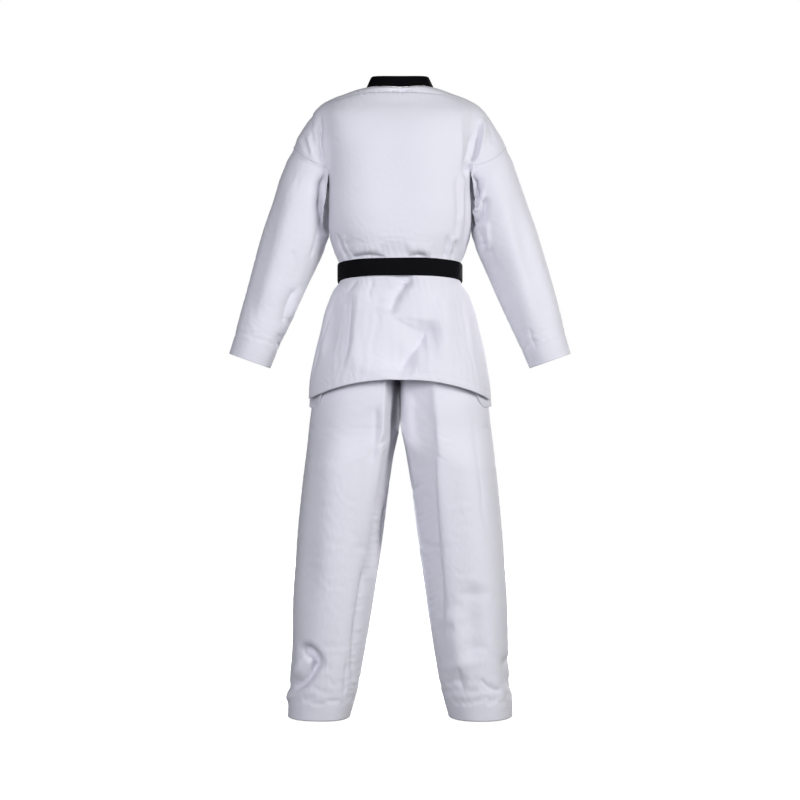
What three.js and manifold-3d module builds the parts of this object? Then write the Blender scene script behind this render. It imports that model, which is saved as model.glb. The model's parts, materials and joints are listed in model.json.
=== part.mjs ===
// A martial arts uniform as it is worn: a pullover jacket with a black V collar, a black belt tied in
// front, and trousers. Millimetres, +Z up, the wearer faces -Y, and +X is the wearer's left.
// The origin is the middle of the waist, at the centre of the belt's loop.
import * as THREE from "three";
import { mergeVertices } from "three/addons/utils/BufferGeometryUtils.js";
import Module from "manifold-3d";

const wasm = await Module();
wasm.setup();

// ---------------------------------------------------------------- driving dimensions

const WALL = 3; // cloth with its seam allowances, as a solid wall
const GAP = 0.4; // between two pieces that are sewn together
const FAR = 2000; // reaches past the whole uniform

const BELT_WIDTH = 38;
const BELT_LAYER = 2.6;
const BELT_SLOPE = 0.1; // the belt rides higher at the back than in front
const WAIST = [138, 96]; // half width and half depth of the jacket under the belt
const KNOT = [54, 22, 40]; // width, depth, height
const TAIL_LENGTH = 268;
const TAIL_SPREAD = 15; // degrees that each hanging end leans out
const TAIL_TILT = 11.5; // degrees that an end leans forward, over the front of the jacket

const NECK = [75, 61]; // half width and half depth of the neck hole
const NECK_HEIGHT = 421; // behind the neck
const COLLAR_WIDTH = 40;
const COLLAR_RISE = 20; // how far the collar stands up behind the neck
const V_DEPTH = 175; // from the side of the neck down to the point of the V
const YOKE_DROP_BACK = 15; // the shoulder seam lies this far behind the ridge of the shoulder
const YOKE_DROP_FRONT = 52;

const SHOULDER = [150, 0, 348]; // where an arm turns
const ARM_LENGTH = 582;
const ARM_ANGLE = 19.6; // degrees out from straight down
const SLEEVE_START = 112; // radius, about the shoulder, of the seam between shoulder and sleeve
const CUFF_LENGTH = 32;
const GUSSET = [46, 96]; // half width and height of the underarm piece

const SKIRT_TOP = -40; // where the jacket's two skirts hinge, just under the belt
const VENT_TOP = -78; // the side vents are open below this
const HEM_BAND = 22;
const FRONT_SKIRT_EXTRA = 12; // the front skirt is cut a little longer

const WAISTBAND = 40;
const ELASTIC = [2, 28]; // thickness and height
const THIGH = -420; // height of the axis that a leg swings about
const THIGH_RADIUS = 121; // the round edge between seat and leg
const LEG_HEM_BAND = 30;
const HEM_HEIGHT = -1013;
const CROTCH_GUSSET = [44, 70]; // half width and half depth

// Height at the middle of the back, half width, half depth, how far the ring drops at the sides.
const JACKET_RINGS = [
  [-243, 209, 143, 45],
  [-205, 206, 139, 38],
  [-150, 195, 131, 28],
  [-100, 180, 121, 18],
  [-60, 167, 112, 10],
  [-34, 152, 103, 3],
  [-21, ...WAIST, 0],
  [21, ...WAIST, 0],
  [42, 149, 103, 0],
  [88, 163, 114, 0],
  [185, 165, 119, 0],
  [300, 170, 116, 0],
  [335, 174, 108, 0],
  [360, 177, 97, 0],
  [376, 178, 87, 0],
  [390, 172, 78, 0],
  [401, 157, 71, 0],
  [408, 134, 67, -2],
  [414, 108, 64, -5],
  [NECK_HEIGHT, ...NECK, -8],
];

// Distance from the shoulder along the arm, half width, half depth.
const ARM_RINGS = [
  [-52, 12, 18],
  [-32, 39, 50],
  [-7, 52, 63],
  [14, 57, 68],
  [67, 67, 73],
  [118, 73, 76],
  [200, 73, 76],
  [285, 72, 74],
  [370, 66, 68],
  [457, 60, 62],
  [540, 53, 55],
  [ARM_LENGTH, 50, 52],
];

// Height, half width, half depth of the seat of the trousers.
const SEAT_RINGS = [
  [12, 126, 87],
  [-28, 127, 88],
  [-60, 136, 96],
  [-110, 149, 104],
  [-170, 166, 110],
  [-240, 188, 115],
  [-300, 203, 116],
  [-347, 208, 115],
];

// Height, inner edge, outer edge and half depth of the left leg.
const LEG_RINGS = [
  [-300, 5, 203, 113],
  [-350, 6, 209, 112],
  [-400, 13, 215, 110],
  [-500, 28, 226, 106],
  [-620, 44, 237, 101],
  [-740, 61, 246, 96],
  [-860, 79, 249, 91],
  [-950, 94, 256, 86],
  [HEM_HEIGHT, 110, 258, 80],
];

// ---------------------------------------------------------------- solids and cuts

const whiteCloth = new THREE.MeshStandardMaterial({ color: 0xe6e6ee, roughness: 0.85, metalness: 0 });
const whiteTrim = new THREE.MeshStandardMaterial({ color: 0xf2f2f6, roughness: 0.8, metalness: 0 });
const blackCloth = new THREE.MeshStandardMaterial({ color: 0x121216, roughness: 0.75, metalness: 0 });
const elasticWeb = new THREE.MeshStandardMaterial({ color: 0xf4f4f0, roughness: 0.7, metalness: 0 });

/** A closed three.js geometry as a manifold-3d solid, facing out. */
function solid(geometry) {
  const bare = geometry.clone();
  bare.deleteAttribute("normal");
  bare.deleteAttribute("uv");
  const merged = mergeVertices(bare, 1e-3);
  const triangles = new Uint32Array(merged.index.array);
  const build = () =>
    new wasm.Manifold(
      new wasm.Mesh({ numProp: 3, vertProperties: merged.attributes.position.array, triVerts: triangles }),
    );
  const made = build();
  if (made.volume() > 0) return made;
  for (let i = 0; i < triangles.length; i += 3) {
    [triangles[i + 1], triangles[i + 2]] = [triangles[i + 2], triangles[i + 1]];
  }
  return build();
}

/** A solid's largest body, because a grazing cut can leave a sliver beside it. */
function largest(made) {
  return made.decompose().reduce((a, b) => (b.volume() > a.volume() ? b : a));
}

/** A closed solid through rings of points, each ring an array of Vector3. */
function loft(rings) {
  const count = rings[0].length;
  const points = rings.flat();
  const middle = (ring) => ring.reduce((sum, p) => sum.add(p), new THREE.Vector3()).divideScalar(count);
  points.push(middle(rings[0]), middle(rings[rings.length - 1]));
  const [first, last] = [points.length - 2, points.length - 1];
  const top = (rings.length - 1) * count;
  const index = [];
  for (let j = 0; j < count; j++) {
    const next = (j + 1) % count;
    for (let i = 0; i < top; i += count) {
      index.push(i + j, i + next, i + count + next, i + j, i + count + next, i + count + j);
    }
    index.push(first, next, j, last, top + j, top + next);
  }
  const geometry = new THREE.BufferGeometry().setFromPoints(points);
  geometry.setIndex(index);
  return solid(geometry);
}

const ROUNDNESS = 2.3; // the power of the body's ovals
const BODY_SIDES = 24;
const ARM_SIDES = 14;
const LEG_SIDES = 16;
const SEAM_SIDES = 32; // of the round edges that turning pieces pass

/** A ring of points on a rounded oval. power 2 is an ellipse, and more is squarer. */
function oval(count, halfWidth, halfDepth, power, place) {
  return Array.from({ length: count }, (_, j) => {
    const angle = (2 * Math.PI * j) / count;
    const [c, s] = [Math.cos(angle), Math.sin(angle)];
    const x = Math.sign(c) * Math.abs(c) ** (2 / power) * halfWidth;
    const y = Math.sign(s) * Math.abs(s) ** (2 / power) * halfDepth;
    return place(x, y, c);
  });
}

const X = new THREE.Vector3(1, 0, 0);
const Y = new THREE.Vector3(0, 1, 0);
const Z = new THREE.Vector3(0, 0, 1);

/** An outline in the plane of u and v, extruded along u x v from one distance to another. */
function prism(outline, u, v, from, to) {
  const along = u.clone().cross(v);
  const shape = new THREE.Shape(outline.map(([a, b]) => new THREE.Vector2(a, b)));
  const geometry = new THREE.ExtrudeGeometry(shape, { depth: to - from, bevelEnabled: false });
  geometry.applyMatrix4(new THREE.Matrix4().makeBasis(u, v, along));
  return solid(geometry.translate(...along.multiplyScalar(from).toArray()));
}

/** An outline of [x, z] points, extruded along Y. */
function prismY(outline, y0 = -FAR, y1 = FAR) {
  const turned = outline.map(([x, z]) => [z, x]);
  return prism(turned, Z, X, y0, y1);
}

/** An outline of [y, z] points, extruded along X. */
function prismX(outline, x0, x1) {
  return prism(outline, Y, Z, x0, x1);
}

function box(x0, x1, y0, y1, z0, z1) {
  const geometry = new THREE.BoxGeometry(x1 - x0, y1 - y0, z1 - z0);
  return solid(geometry.translate((x0 + x1) / 2, (y0 + y1) / 2, (z0 + z1) / 2));
}

/** A round bar across the uniform, along X or along Y, through the point [x, z] or [y, z]. */
function bar(radius, sides, alongX, [across, height]) {
  const geometry = new THREE.CylinderGeometry(radius, radius, 2 * FAR, sides);
  if (alongX) geometry.rotateZ(Math.PI / 2);
  const place = alongX ? [0, across, height] : [across, 0, height];
  return solid(geometry.translate(...place));
}

const mirrored = (made) => made.mirror([1, 0, 0]);
const back = box(-FAR, FAR, GAP / 2, FAR, -FAR, FAR);
const front = box(-FAR, FAR, -FAR, -GAP / 2, -FAR, FAR);
const left = box(GAP / 2, FAR, -FAR, FAR, -FAR, FAR);

// ---------------------------------------------------------------- the jacket's cloth as one shell


/** How much a ring of the jacket follows the slope of the belt: fully at the waist, not at all above. */
function slopeAt(height) {
  const [straight, fade] = [21, 67];
  return BELT_SLOPE * Math.max(0, 1 - Math.max(0, Math.abs(height) - straight) / fade);
}

/** The jacket's body filled in, grown outwards by some millimetres, with its lowest ring let down. */
function jacketBody(grow, letDown = 0, open = 0) {
  const ring = ([height, width, depth, drop]) =>
    oval(BODY_SIDES, width + grow, depth + grow, ROUNDNESS, (x, y, c) => {
      const lift = height > 340 ? grow : 0;
      return new THREE.Vector3(x, y, height + lift + slopeAt(height) * y - drop * c * c);
    });
  const rings = JACKET_RINGS.map(([height, ...rest], i) => ring([i ? height : height - letDown, ...rest]));
  if (open) {
    const shifted = (points, by) => points.map((p) => p.clone().add(new THREE.Vector3(0, 0, by)));
    rings.unshift(shifted(rings[0], -open));
    rings.push(shifted(rings[rings.length - 1], open));
  }
  return loft(rings);
}

const jacketSolid = jacketBody(0);
const jacketHollow = jacketBody(-WALL, 0, 12);
const jacketShell = jacketSolid.subtract(jacketHollow);
const frontLength = jacketBody(0, FRONT_SKIRT_EXTRA).subtract(jacketBody(-WALL, FRONT_SKIRT_EXTRA, 12));

// ---------------------------------------------------------------- arms

const armTurn = THREE.MathUtils.degToRad(ARM_ANGLE);
const armFrame = new THREE.Matrix4().makeRotationY(-armTurn).setPosition(...SHOULDER);

/** The left arm's tube, grown outwards; its local -Z runs down the arm. */
function arm(grow, open = 0) {
  const ring = ([along, width, depth]) =>
    oval(ARM_SIDES, width + grow, depth + grow, 2.1, (x, y) => new THREE.Vector3(x, y, -along).applyMatrix4(armFrame));
  const [tip, end] = [ARM_RINGS[0], ARM_RINGS[ARM_RINGS.length - 1]];
  const rows = open ? [...ARM_RINGS, [end[0] + open, end[1], end[2]]] : ARM_RINGS;
  const start = [tip[0] - grow, tip[1], tip[2]];
  return loft([start, ...rows.slice(1)].map(ring));
}

/** A slab across the left arm, between two distances from the shoulder. */
function armSlab(from, to) {
  const geometry = new THREE.BoxGeometry(400, 400, to - from);
  return solid(geometry.translate(0, 0, -(from + to) / 2).applyMatrix4(armFrame));
}

const seamAt = [SHOULDER[0], SHOULDER[2]];
const insideSeam = bar(SLEEVE_START - 1, SEAM_SIDES, false, seamAt);
const pastSeam = bar(SLEEVE_START, SEAM_SIDES, false, seamAt);
const armSolid = arm(0);
const armHollow = arm(-WALL, 12);
const armhole = arm(GAP).intersect(pastSeam);
const armholes = armhole.add(mirrored(armhole));

function shoulderPanel() {
  const shell = armSolid.subtract(armHollow).intersect(insideSeam);
  return largest(shell.subtract(jacketHollow).subtract(box(-FAR, 60, -FAR, FAR, -FAR, FAR)));
}

/** The sleeve with its own wall where it lies against the body. */
function sleeveShell() {
  const outside = armSolid.subtract(jacketBody(GAP));
  const inside = armHollow.subtract(jacketBody(GAP + WALL));
  return largest(outside.subtract(inside).subtract(pastSeam));
}

const sleeve = sleeveShell();
const cuffTop = ARM_LENGTH - CUFF_LENGTH;
const underarm = SHOULDER[2] - SLEEVE_START;
const gussetRegion = prismX(
  [
    [-GUSSET[0], underarm + 30],
    [0, underarm - GUSSET[1]],
    [GUSSET[0], underarm + 30],
  ],
  100,
  SHOULDER[0] + 45,
);
const gussetSeam = prismX(
  [
    [-GUSSET[0] - 1, underarm + 31],
    [0, underarm - GUSSET[1] - 2],
    [GUSSET[0] + 1, underarm + 31],
  ],
  99,
  SHOULDER[0] + 46,
);

// ---------------------------------------------------------------- jacket panels

/** Everything above a line that follows the shoulders, some way below their ridge. */
function aboveShoulderLine(below, y0, y1) {
  const ridge = JACKET_RINGS.filter(([height]) => height > 370);
  const side = ridge.map(([height, width, , drop]) => [width, height - drop - below]);
  const right = side.map(([x, z]) => [-x, z]);
  const ends = [[FAR, side[0][1]], ...side, ...right.reverse(), [-FAR, side[0][1]]];
  return prismY([...ends, [-FAR, FAR], [FAR, FAR]], y0, y1);
}

const yokeRegion = (seam) =>
  aboveShoulderLine(YOKE_DROP_BACK + seam, 0, FAR).add(aboveShoulderLine(YOKE_DROP_FRONT + seam, -FAR, 0));

/** The two skirts: everything below a line that falls from under the belt to the top of each vent. */
function skirtRegion(seam) {
  const [inner, outer] = [28, 166];
  const top = SKIRT_TOP - seam;
  const vent = VENT_TOP - seam;
  const line = [[-FAR, vent], [-outer, vent], [-inner, top], [inner, top], [outer, vent], [FAR, vent]];
  return prismY([...line, [FAR, -FAR], [-FAR, -FAR]]);
}

/** Everything below a line round the skirts that keeps the same distance from the hem. */
function hemRegion(rise, reach = 8) {
  const [height, width, depth, drop] = JACKET_RINGS[0];
  const ring = (z) =>
    oval(BODY_SIDES, width + reach, depth + reach, ROUNDNESS, (x, y, c) => new THREE.Vector3(x, y, z - drop * c * c));
  return loft([ring(height - 60), ring(height + rise)]);
}

const V_TOP = NECK_HEIGHT + 4;
const V_POINT = NECK_HEIGHT + 8 - V_DEPTH;
const vNeck = prismY(
  [[0, V_POINT], [NECK[0] - 1, V_TOP], [NECK[0] - 1, FAR], [1 - NECK[0], FAR], [1 - NECK[0], V_TOP]],
  -FAR,
  -6,
);

const upper = jacketShell.subtract(armholes).subtract(skirtRegion(0));
const yoke = largest(upper.intersect(yokeRegion(0)).subtract(vNeck));
const belowYoke = upper.subtract(yokeRegion(GAP));
const backPanel = largest(belowYoke.intersect(back));
const frontPanel = largest(belowYoke.intersect(front).subtract(vNeck));

const skirts = skirtRegion(GAP);
const backCloth = jacketShell.intersect(skirts).intersect(back);
const frontCloth = frontLength.intersect(skirts).intersect(front);
const backHem = largest(backCloth.intersect(hemRegion(HEM_BAND)));
const backSkirt = largest(backCloth.subtract(hemRegion(HEM_BAND + GAP)));
const frontHem = largest(frontCloth.intersect(hemRegion(HEM_BAND - FRONT_SKIRT_EXTRA)));
const frontSkirt = largest(frontCloth.subtract(hemRegion(HEM_BAND - FRONT_SKIRT_EXTRA + GAP)));

/** A layer that lies on the jacket's outside: lift is the gap under it. */
const overlay = (lift, thickness) => jacketBody(lift + thickness).subtract(jacketBody(lift));

// ---------------------------------------------------------------- collar

/** A straight band along the left edge of the V, [from, to] millimetres outwards from that edge. */
function vBand(from, to, past) {
  const edge = new THREE.Vector2(NECK[0] - 1, V_TOP - V_POINT);
  const along = edge.clone().normalize();
  const out = new THREE.Vector2(along.y, -along.x);
  const at = (distance, off) => {
    const p = along.clone().multiplyScalar(distance).add(out.clone().multiplyScalar(off));
    return [p.x, p.y + V_POINT];
  };
  const top = edge.length() + 40;
  return prismY([at(-past, from), at(-past, to), at(top, to), at(top, from)], -FAR, -7);
}

const COLLAR_ON_CLOTH = 12; // how much of its width overlaps the front panel
const collarLayer = overlay(GAP, WALL - 0.4);
const leftBand = vBand(COLLAR_ON_CLOTH - COLLAR_WIDTH, COLLAR_ON_CLOTH, COLLAR_WIDTH);
const leftBandSeam = vBand(COLLAR_ON_CLOTH - COLLAR_WIDTH - GAP, COLLAR_ON_CLOTH + GAP, COLLAR_WIDTH + GAP);
const rightBand = mirrored(vBand(COLLAR_ON_CLOTH - COLLAR_WIDTH, COLLAR_ON_CLOTH, 0));
const collarReach = NECK[0] + 5;
const belowCollarTop = box(-collarReach, collarReach, -FAR, FAR, -FAR, NECK_HEIGHT + 6);
const collarLeftFront = largest(collarLayer.intersect(leftBand).intersect(belowCollarTop));
const collarRightFront = largest(
  collarLayer.intersect(rightBand).intersect(belowCollarTop).subtract(leftBandSeam),
);

/** The standing part of the collar, behind and beside the neck. */
function standingCollar() {
  const [, width, depth, drop] = JACKET_RINGS[JACKET_RINGS.length - 1];
  const lean = 8; // how far its top edge leans in
  const ring = (rise, inset) =>
    oval(BODY_SIDES, width - inset, depth - inset, ROUNDNESS, (x, y, c) =>
      new THREE.Vector3(x, y, NECK_HEIGHT + rise - drop * c * c));
  const outside = loft([ring(GAP, 0), ring(COLLAR_RISE, lean)]);
  const inside = loft([ring(-10, WALL - 3), ring(COLLAR_RISE + 10, lean + WALL + 3)]);
  return largest(outside.subtract(inside).intersect(box(-FAR, FAR, -6, FAR, -FAR, FAR)));
}

// ---------------------------------------------------------------- belt

/** One turn of the belt round the waist, with its inner face this far outside the jacket. */
function beltTurn(lift) {
  const ring = (grow, z) =>
    oval(BODY_SIDES, WAIST[0] + grow, WAIST[1] + grow, ROUNDNESS, (x, y) => new THREE.Vector3(x, y, z + BELT_SLOPE * y));
  const half = BELT_WIDTH / 2;
  const outside = loft([ring(lift + BELT_LAYER, -half), ring(lift + BELT_LAYER, half)]);
  return outside.subtract(loft([ring(lift, -half - 5), ring(lift, half + 5)]));
}

const beltFace = WAIST[1] + 2 * (GAP + BELT_LAYER);
const knotHeight = -BELT_SLOPE * beltFace + 2;

/** The flat knot: a block with soft edges, narrower in front. */
function knot() {
  const ring = (y, scale) =>
    oval(16, (KNOT[0] / 2) * scale, (KNOT[2] / 2) * scale, 3.5, (x, z) => new THREE.Vector3(x, y, z + knotHeight));
  const face = -beltFace - GAP;
  return loft([ring(face, 0.86), ring(face - 5, 1), ring(face - KNOT[1] + 7, 0.96), ring(face - KNOT[1], 0.7)]);
}

const TAIL_HINGE = [-110, SKIRT_TOP]; // y and z of the line under the knot that the ends hang from

/** The left hanging end, two layers thick. */
function beltTail() {
  const geometry = new THREE.BoxGeometry(BELT_WIDTH, 2 * BELT_LAYER, TAIL_LENGTH);
  geometry.translate(0, -BELT_LAYER, -TAIL_LENGTH / 2);
  geometry.rotateY(-THREE.MathUtils.degToRad(TAIL_SPREAD));
  geometry.rotateX(-THREE.MathUtils.degToRad(TAIL_TILT));
  return solid(geometry.translate(BELT_WIDTH / 2 + 1.5, ...TAIL_HINGE));
}

// ---------------------------------------------------------------- trousers

/** Seat and both legs filled in, grown outwards. */
function trousersBody(grow, open = 0) {
  const seatRing = ([z, width, depth]) =>
    oval(BODY_SIDES, width + grow, depth + grow, ROUNDNESS, (x, y) => new THREE.Vector3(x, y, z));
  const seatRows = [...SEAT_RINGS].reverse();
  const [bottom, top] = [seatRows[0], seatRows[seatRows.length - 1]];
  seatRows[0] = [bottom[0] - grow, bottom[1], bottom[2]];
  if (open) seatRows.push([top[0] + open, top[1], top[2]]);
  const seat = loft(seatRows.map(seatRing));
  const legRing = ([z, inner, outer, depth]) =>
    oval(LEG_SIDES, (outer - inner) / 2 + grow, depth + grow, ROUNDNESS, (x, y) =>
      new THREE.Vector3(x + (inner + outer) / 2, y, z));
  const legRows = [...LEG_RINGS].reverse();
  if (open) legRows.unshift([HEM_HEIGHT - open, ...legRows[0].slice(1)]);
  const leg = loft(legRows.map(legRing));
  return seat.add(leg).add(mirrored(leg));
}

const trousersShell = trousersBody(0).subtract(trousersBody(-WALL, 12));

/** What stays with the seat when a leg swings: all above the axis, and a round edge below it. */
function seatRegion(grow) {
  const above = box(-FAR, FAR, -FAR, FAR, THIGH - grow, FAR);
  return above.add(bar(THIGH_RADIUS + grow, SEAM_SIDES, true, [0, THIGH]));
}

const waistLine = SEAT_RINGS[0][0] - WAISTBAND;
const gussetBox = (grow) =>
  box(
    -CROTCH_GUSSET[0] - grow, CROTCH_GUSSET[0] + grow,
    -CROTCH_GUSSET[1] - grow, CROTCH_GUSSET[1] + grow,
    -400 - grow, -330 + grow,
  );
const waistband = trousersShell.intersect(box(-FAR, FAR, -FAR, FAR, waistLine, FAR));
const seatCloth = trousersShell
  .intersect(seatRegion(0))
  .intersect(box(-FAR, FAR, -FAR, FAR, -FAR, waistLine - GAP))
  .subtract(gussetBox(GAP));
const leftSeat = seatCloth.intersect(left);
const leftLeg = trousersShell.subtract(seatRegion(1.2)).intersect(left);
const hemLine = HEM_HEIGHT + LEG_HEM_BAND;

/** The elastic inside the waistband. */
function waistElastic() {
  const [, width, depth] = SEAT_RINGS[0];
  const middle = SEAT_RINGS[0][0] - WAISTBAND / 2;
  const ring = (grow, z) =>
    oval(BODY_SIDES, width - WALL - GAP + grow, depth - WALL - GAP + grow, ROUNDNESS, (x, y) => new THREE.Vector3(x, y, z));
  const half = ELASTIC[1] / 2;
  const outside = loft([ring(0, middle - half), ring(0, middle + half)]);
  return outside.subtract(loft([ring(-ELASTIC[0], middle - half - 5), ring(-ELASTIC[0], middle + half + 5)]));
}

// ---------------------------------------------------------------- the uniform

const uniform = new THREE.Group();

/** Adds a solid to the uniform as one named mesh. */
function add(name, made, material) {
  const { vertProperties, triVerts } = made.getMesh();
  const geometry = new THREE.BufferGeometry();
  geometry.setAttribute("position", new THREE.BufferAttribute(vertProperties, 3));
  geometry.setIndex(new THREE.BufferAttribute(triVerts, 1));
  geometry.computeVertexNormals();
  const mesh = new THREE.Mesh(geometry, material.clone());
  mesh.name = name;
  uniform.add(mesh);
}

/** Adds a left piece and its mirror image on the right. */
function addPair(name, made, material) {
  add(`left_${name}`, made, material);
  add(`right_${name}`, mirrored(made), material);
}

add("back_panel", backPanel, whiteCloth);
add("front_panel", frontPanel, whiteCloth);
add("yoke", yoke, whiteCloth);
addPair("shoulder_panel", shoulderPanel(), whiteCloth);

add("collar_back", standingCollar(), blackCloth);
add("collar_left_front", collarLeftFront, blackCloth);
add("collar_right_front", collarRightFront, blackCloth);

addPair("sleeve", largest(sleeve.subtract(armSlab(cuffTop - GAP, FAR)).subtract(gussetSeam)), whiteCloth);
addPair("underarm_gusset", largest(sleeve.intersect(gussetRegion)), whiteCloth);
addPair("cuff", largest(sleeve.intersect(armSlab(cuffTop, FAR))), whiteTrim);

add("back_skirt", backSkirt, whiteCloth);
add("back_hem_band", backHem, whiteTrim);
add("front_skirt", frontSkirt, whiteCloth);
add("front_hem_band", frontHem, whiteTrim);
const ventTab = prismX(
  [[-13, VENT_TOP + 2], [13, VENT_TOP + 2], [13, VENT_TOP + 24], [-13, VENT_TOP + 24]],
  100,
  FAR,
);
addPair("vent_tab", largest(overlay(GAP, 1.6).intersect(ventTab)), whiteTrim);

add("belt_inner_turn", beltTurn(GAP), blackCloth);
add("belt_outer_turn", beltTurn(2 * GAP + BELT_LAYER), blackCloth);
add("belt_knot", knot(), blackCloth);
add("belt_left_tail", beltTail(), blackCloth);
add("belt_right_tail", mirrored(beltTail()), blackCloth);

add("waistband", waistband, whiteTrim);
add("waist_elastic", waistElastic(), elasticWeb);
addPair("seat_back", largest(leftSeat.intersect(back)), whiteCloth);
addPair("seat_front", largest(leftSeat.intersect(front)), whiteCloth);
add("crotch_gusset", largest(trousersShell.intersect(gussetBox(0))), whiteCloth);

const aboveHem = box(-FAR, FAR, -FAR, FAR, hemLine + GAP, FAR);
const belowHem = box(-FAR, FAR, -FAR, FAR, -FAR, hemLine);
addPair("leg_back", largest(leftLeg.intersect(aboveHem).intersect(back)), whiteCloth);
addPair("leg_front", largest(leftLeg.intersect(aboveHem).intersect(front)), whiteCloth);
addPair("leg_hem", largest(leftLeg.intersect(belowHem)), whiteTrim);

export default uniform;
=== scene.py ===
"""A martial arts uniform, as it is worn: cloth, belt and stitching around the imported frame. Metres."""

import json
import math

import bmesh
import bpy
import numpy as np
from mathutils import Matrix, Vector, noise
from mathutils.bvhtree import BVHTree


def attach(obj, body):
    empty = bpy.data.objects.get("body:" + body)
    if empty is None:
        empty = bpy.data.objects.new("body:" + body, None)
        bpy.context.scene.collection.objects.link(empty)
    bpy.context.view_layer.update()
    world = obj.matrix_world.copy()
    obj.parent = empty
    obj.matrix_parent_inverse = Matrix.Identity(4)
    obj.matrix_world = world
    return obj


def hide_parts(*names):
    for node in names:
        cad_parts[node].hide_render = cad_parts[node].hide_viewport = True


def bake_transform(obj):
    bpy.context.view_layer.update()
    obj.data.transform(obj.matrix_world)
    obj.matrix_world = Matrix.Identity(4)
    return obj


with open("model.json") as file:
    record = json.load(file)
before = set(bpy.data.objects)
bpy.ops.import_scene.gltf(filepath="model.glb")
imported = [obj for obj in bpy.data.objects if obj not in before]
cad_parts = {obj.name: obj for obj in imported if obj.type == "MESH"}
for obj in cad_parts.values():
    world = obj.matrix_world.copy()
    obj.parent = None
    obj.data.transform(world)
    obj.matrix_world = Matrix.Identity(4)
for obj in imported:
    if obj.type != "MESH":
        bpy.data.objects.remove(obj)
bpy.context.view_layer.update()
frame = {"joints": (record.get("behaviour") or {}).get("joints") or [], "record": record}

# ------------------------------------------------------------------ sizes

WAIST_POWER, ARM_POWER = 2.3, 2.1  # of the body's and the arms' ovals, where 2 is an ellipse
WAIST_WIDTH, WAIST_DEPTH = 0.138, 0.096  # half sizes of the jacket under the belt
NECK_WIDTH, NECK_DEPTH = 0.075, 0.061  # half sizes of the neck hole
V_POINT, V_TOP, V_WIDTH = 0.254, 0.425, 0.074  # heights of the V, and half its width at the top
HEM_HEIGHT, HEM_DROP, FRONT_DROP = -0.243, 0.045, 0.012  # the skirts' hems, lower at the sides and in front
BELT_SLOPE, BELT_WIDTH, BELT_TURN = 0.1, 0.038, 0.0024  # the belt is higher at the back; a turn's thickness
CLOTH = 0.0016  # thickness of the cotton, with the air in its weave
VOXEL = 0.0055  # size of the jacket's mesh
SETTLE_FRAMES, SETTLE_REACH = 16, 0.007  # how long the cloth settles, and how far a point may move
STITCH, STITCH_GAP = 0.0030, 0.0012
STITCH_ROWS, GROOVE = 9, 0.00045  # along the belt and the collar
DISTANCE, EYE = 3.6, -0.290  # the camera stands behind the wearer, level with the hips
FRAME_WIDTH = 1.84  # what it sees at the shoulders

# Height at the middle of the back, half width, half depth, and drop at the sides, as in the part's source.
BODY_RINGS = [
    (-0.040, 0.154, 0.105, 0.003), (-0.021, 0.138, 0.096, 0), (0.021, 0.138, 0.096, 0),
    (0.042, 0.149, 0.103, 0), (0.064, 0.156, 0.110, 0), (0.088, 0.163, 0.114, 0),
    (0.140, 0.165, 0.118, 0), (0.200, 0.163, 0.119, 0), (0.260, 0.166, 0.119, 0),
    (0.300, 0.170, 0.116, 0), (0.335, 0.174, 0.108, 0), (0.360, 0.177, 0.097, 0),
    (0.376, 0.178, 0.087, 0), (0.390, 0.172, 0.078, 0), (0.401, 0.157, 0.071, 0),
    (0.408, 0.134, 0.067, -0.002), (0.414, 0.108, 0.064, -0.005), (0.421, 0.075, 0.061, -0.008),
]
SKIRT_RINGS = [
    (0.012, 0.1385, 0.0965, 0), (-0.021, 0.1385, 0.0965, 0), (-0.034, 0.152, 0.103, 0.003),
    (-0.060, 0.167, 0.112, 0.010), (-0.100, 0.180, 0.121, 0.018), (-0.150, 0.195, 0.131, 0.028),
    (-0.205, 0.206, 0.139, 0.038), (-0.243, 0.209, 0.143, 0.045),
]
# Distance from the shoulder along the arm, half width, half depth.
ARM_RINGS = [
    (-0.044, 0.027, 0.036), (-0.032, 0.039, 0.050), (-0.019, 0.046, 0.058), (-0.007, 0.052, 0.063),
    (0.014, 0.057, 0.068), (0.040, 0.062, 0.071), (0.067, 0.067, 0.073), (0.092, 0.070, 0.075),
    (0.118, 0.073, 0.076), (0.200, 0.073, 0.076), (0.285, 0.072, 0.074), (0.370, 0.066, 0.068),
    (0.457, 0.060, 0.062), (0.540, 0.053, 0.055), (0.582, 0.050, 0.052),
]
# Height, inner edge, outer edge, half depth, and the power of the inner side, of the left half.
TROUSER_RINGS = [
    (0.012, 0.0, 0.126, 0.087, 30), (-0.028, 0.0, 0.127, 0.088, 30), (-0.110, 0.0, 0.149, 0.104, 30),
    (-0.170, 0.0, 0.166, 0.110, 30), (-0.240, 0.0, 0.188, 0.115, 30), (-0.300, 0.0, 0.203, 0.116, 24),
    (-0.347, 0.001, 0.209, 0.114, 12), (-0.400, 0.012, 0.215, 0.110, 5),
    (-0.500, 0.028, 0.226, 0.106, 3), (-0.620, 0.044, 0.237, 0.101, 2.3),
    (-0.740, 0.061, 0.246, 0.096, 2.3), (-0.860, 0.079, 0.249, 0.091, 2.3),
    (-0.950, 0.094, 0.256, 0.086, 2.3), (-1.013, 0.110, 0.258, 0.080, 2.3),
]
CROTCH = -0.347
UPPER_ROWS = 14  # of BODY_RINGS, up to where the shoulders turn in

joints = {joint["name"]: joint for joint in frame["joints"]}
mounts = {mount["name"]: mount for mount in frame["record"]["mounts"]}
SHOULDER = Vector(joints["left_sleeve_raise"]["pos_m"])
ARM_AXIS = Vector(mounts["left_cuff_opening"]["axis"]).normalized()
ARM_OUT = Vector((-ARM_AXIS.z, 0, ARM_AXIS.x))
ARM_LENGTH = ARM_RINGS[-1][0]
SEAM_RADIUS = 0.112  # of the drop-shoulder seam, about the shoulder

# ------------------------------------------------------------------ small tools


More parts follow.
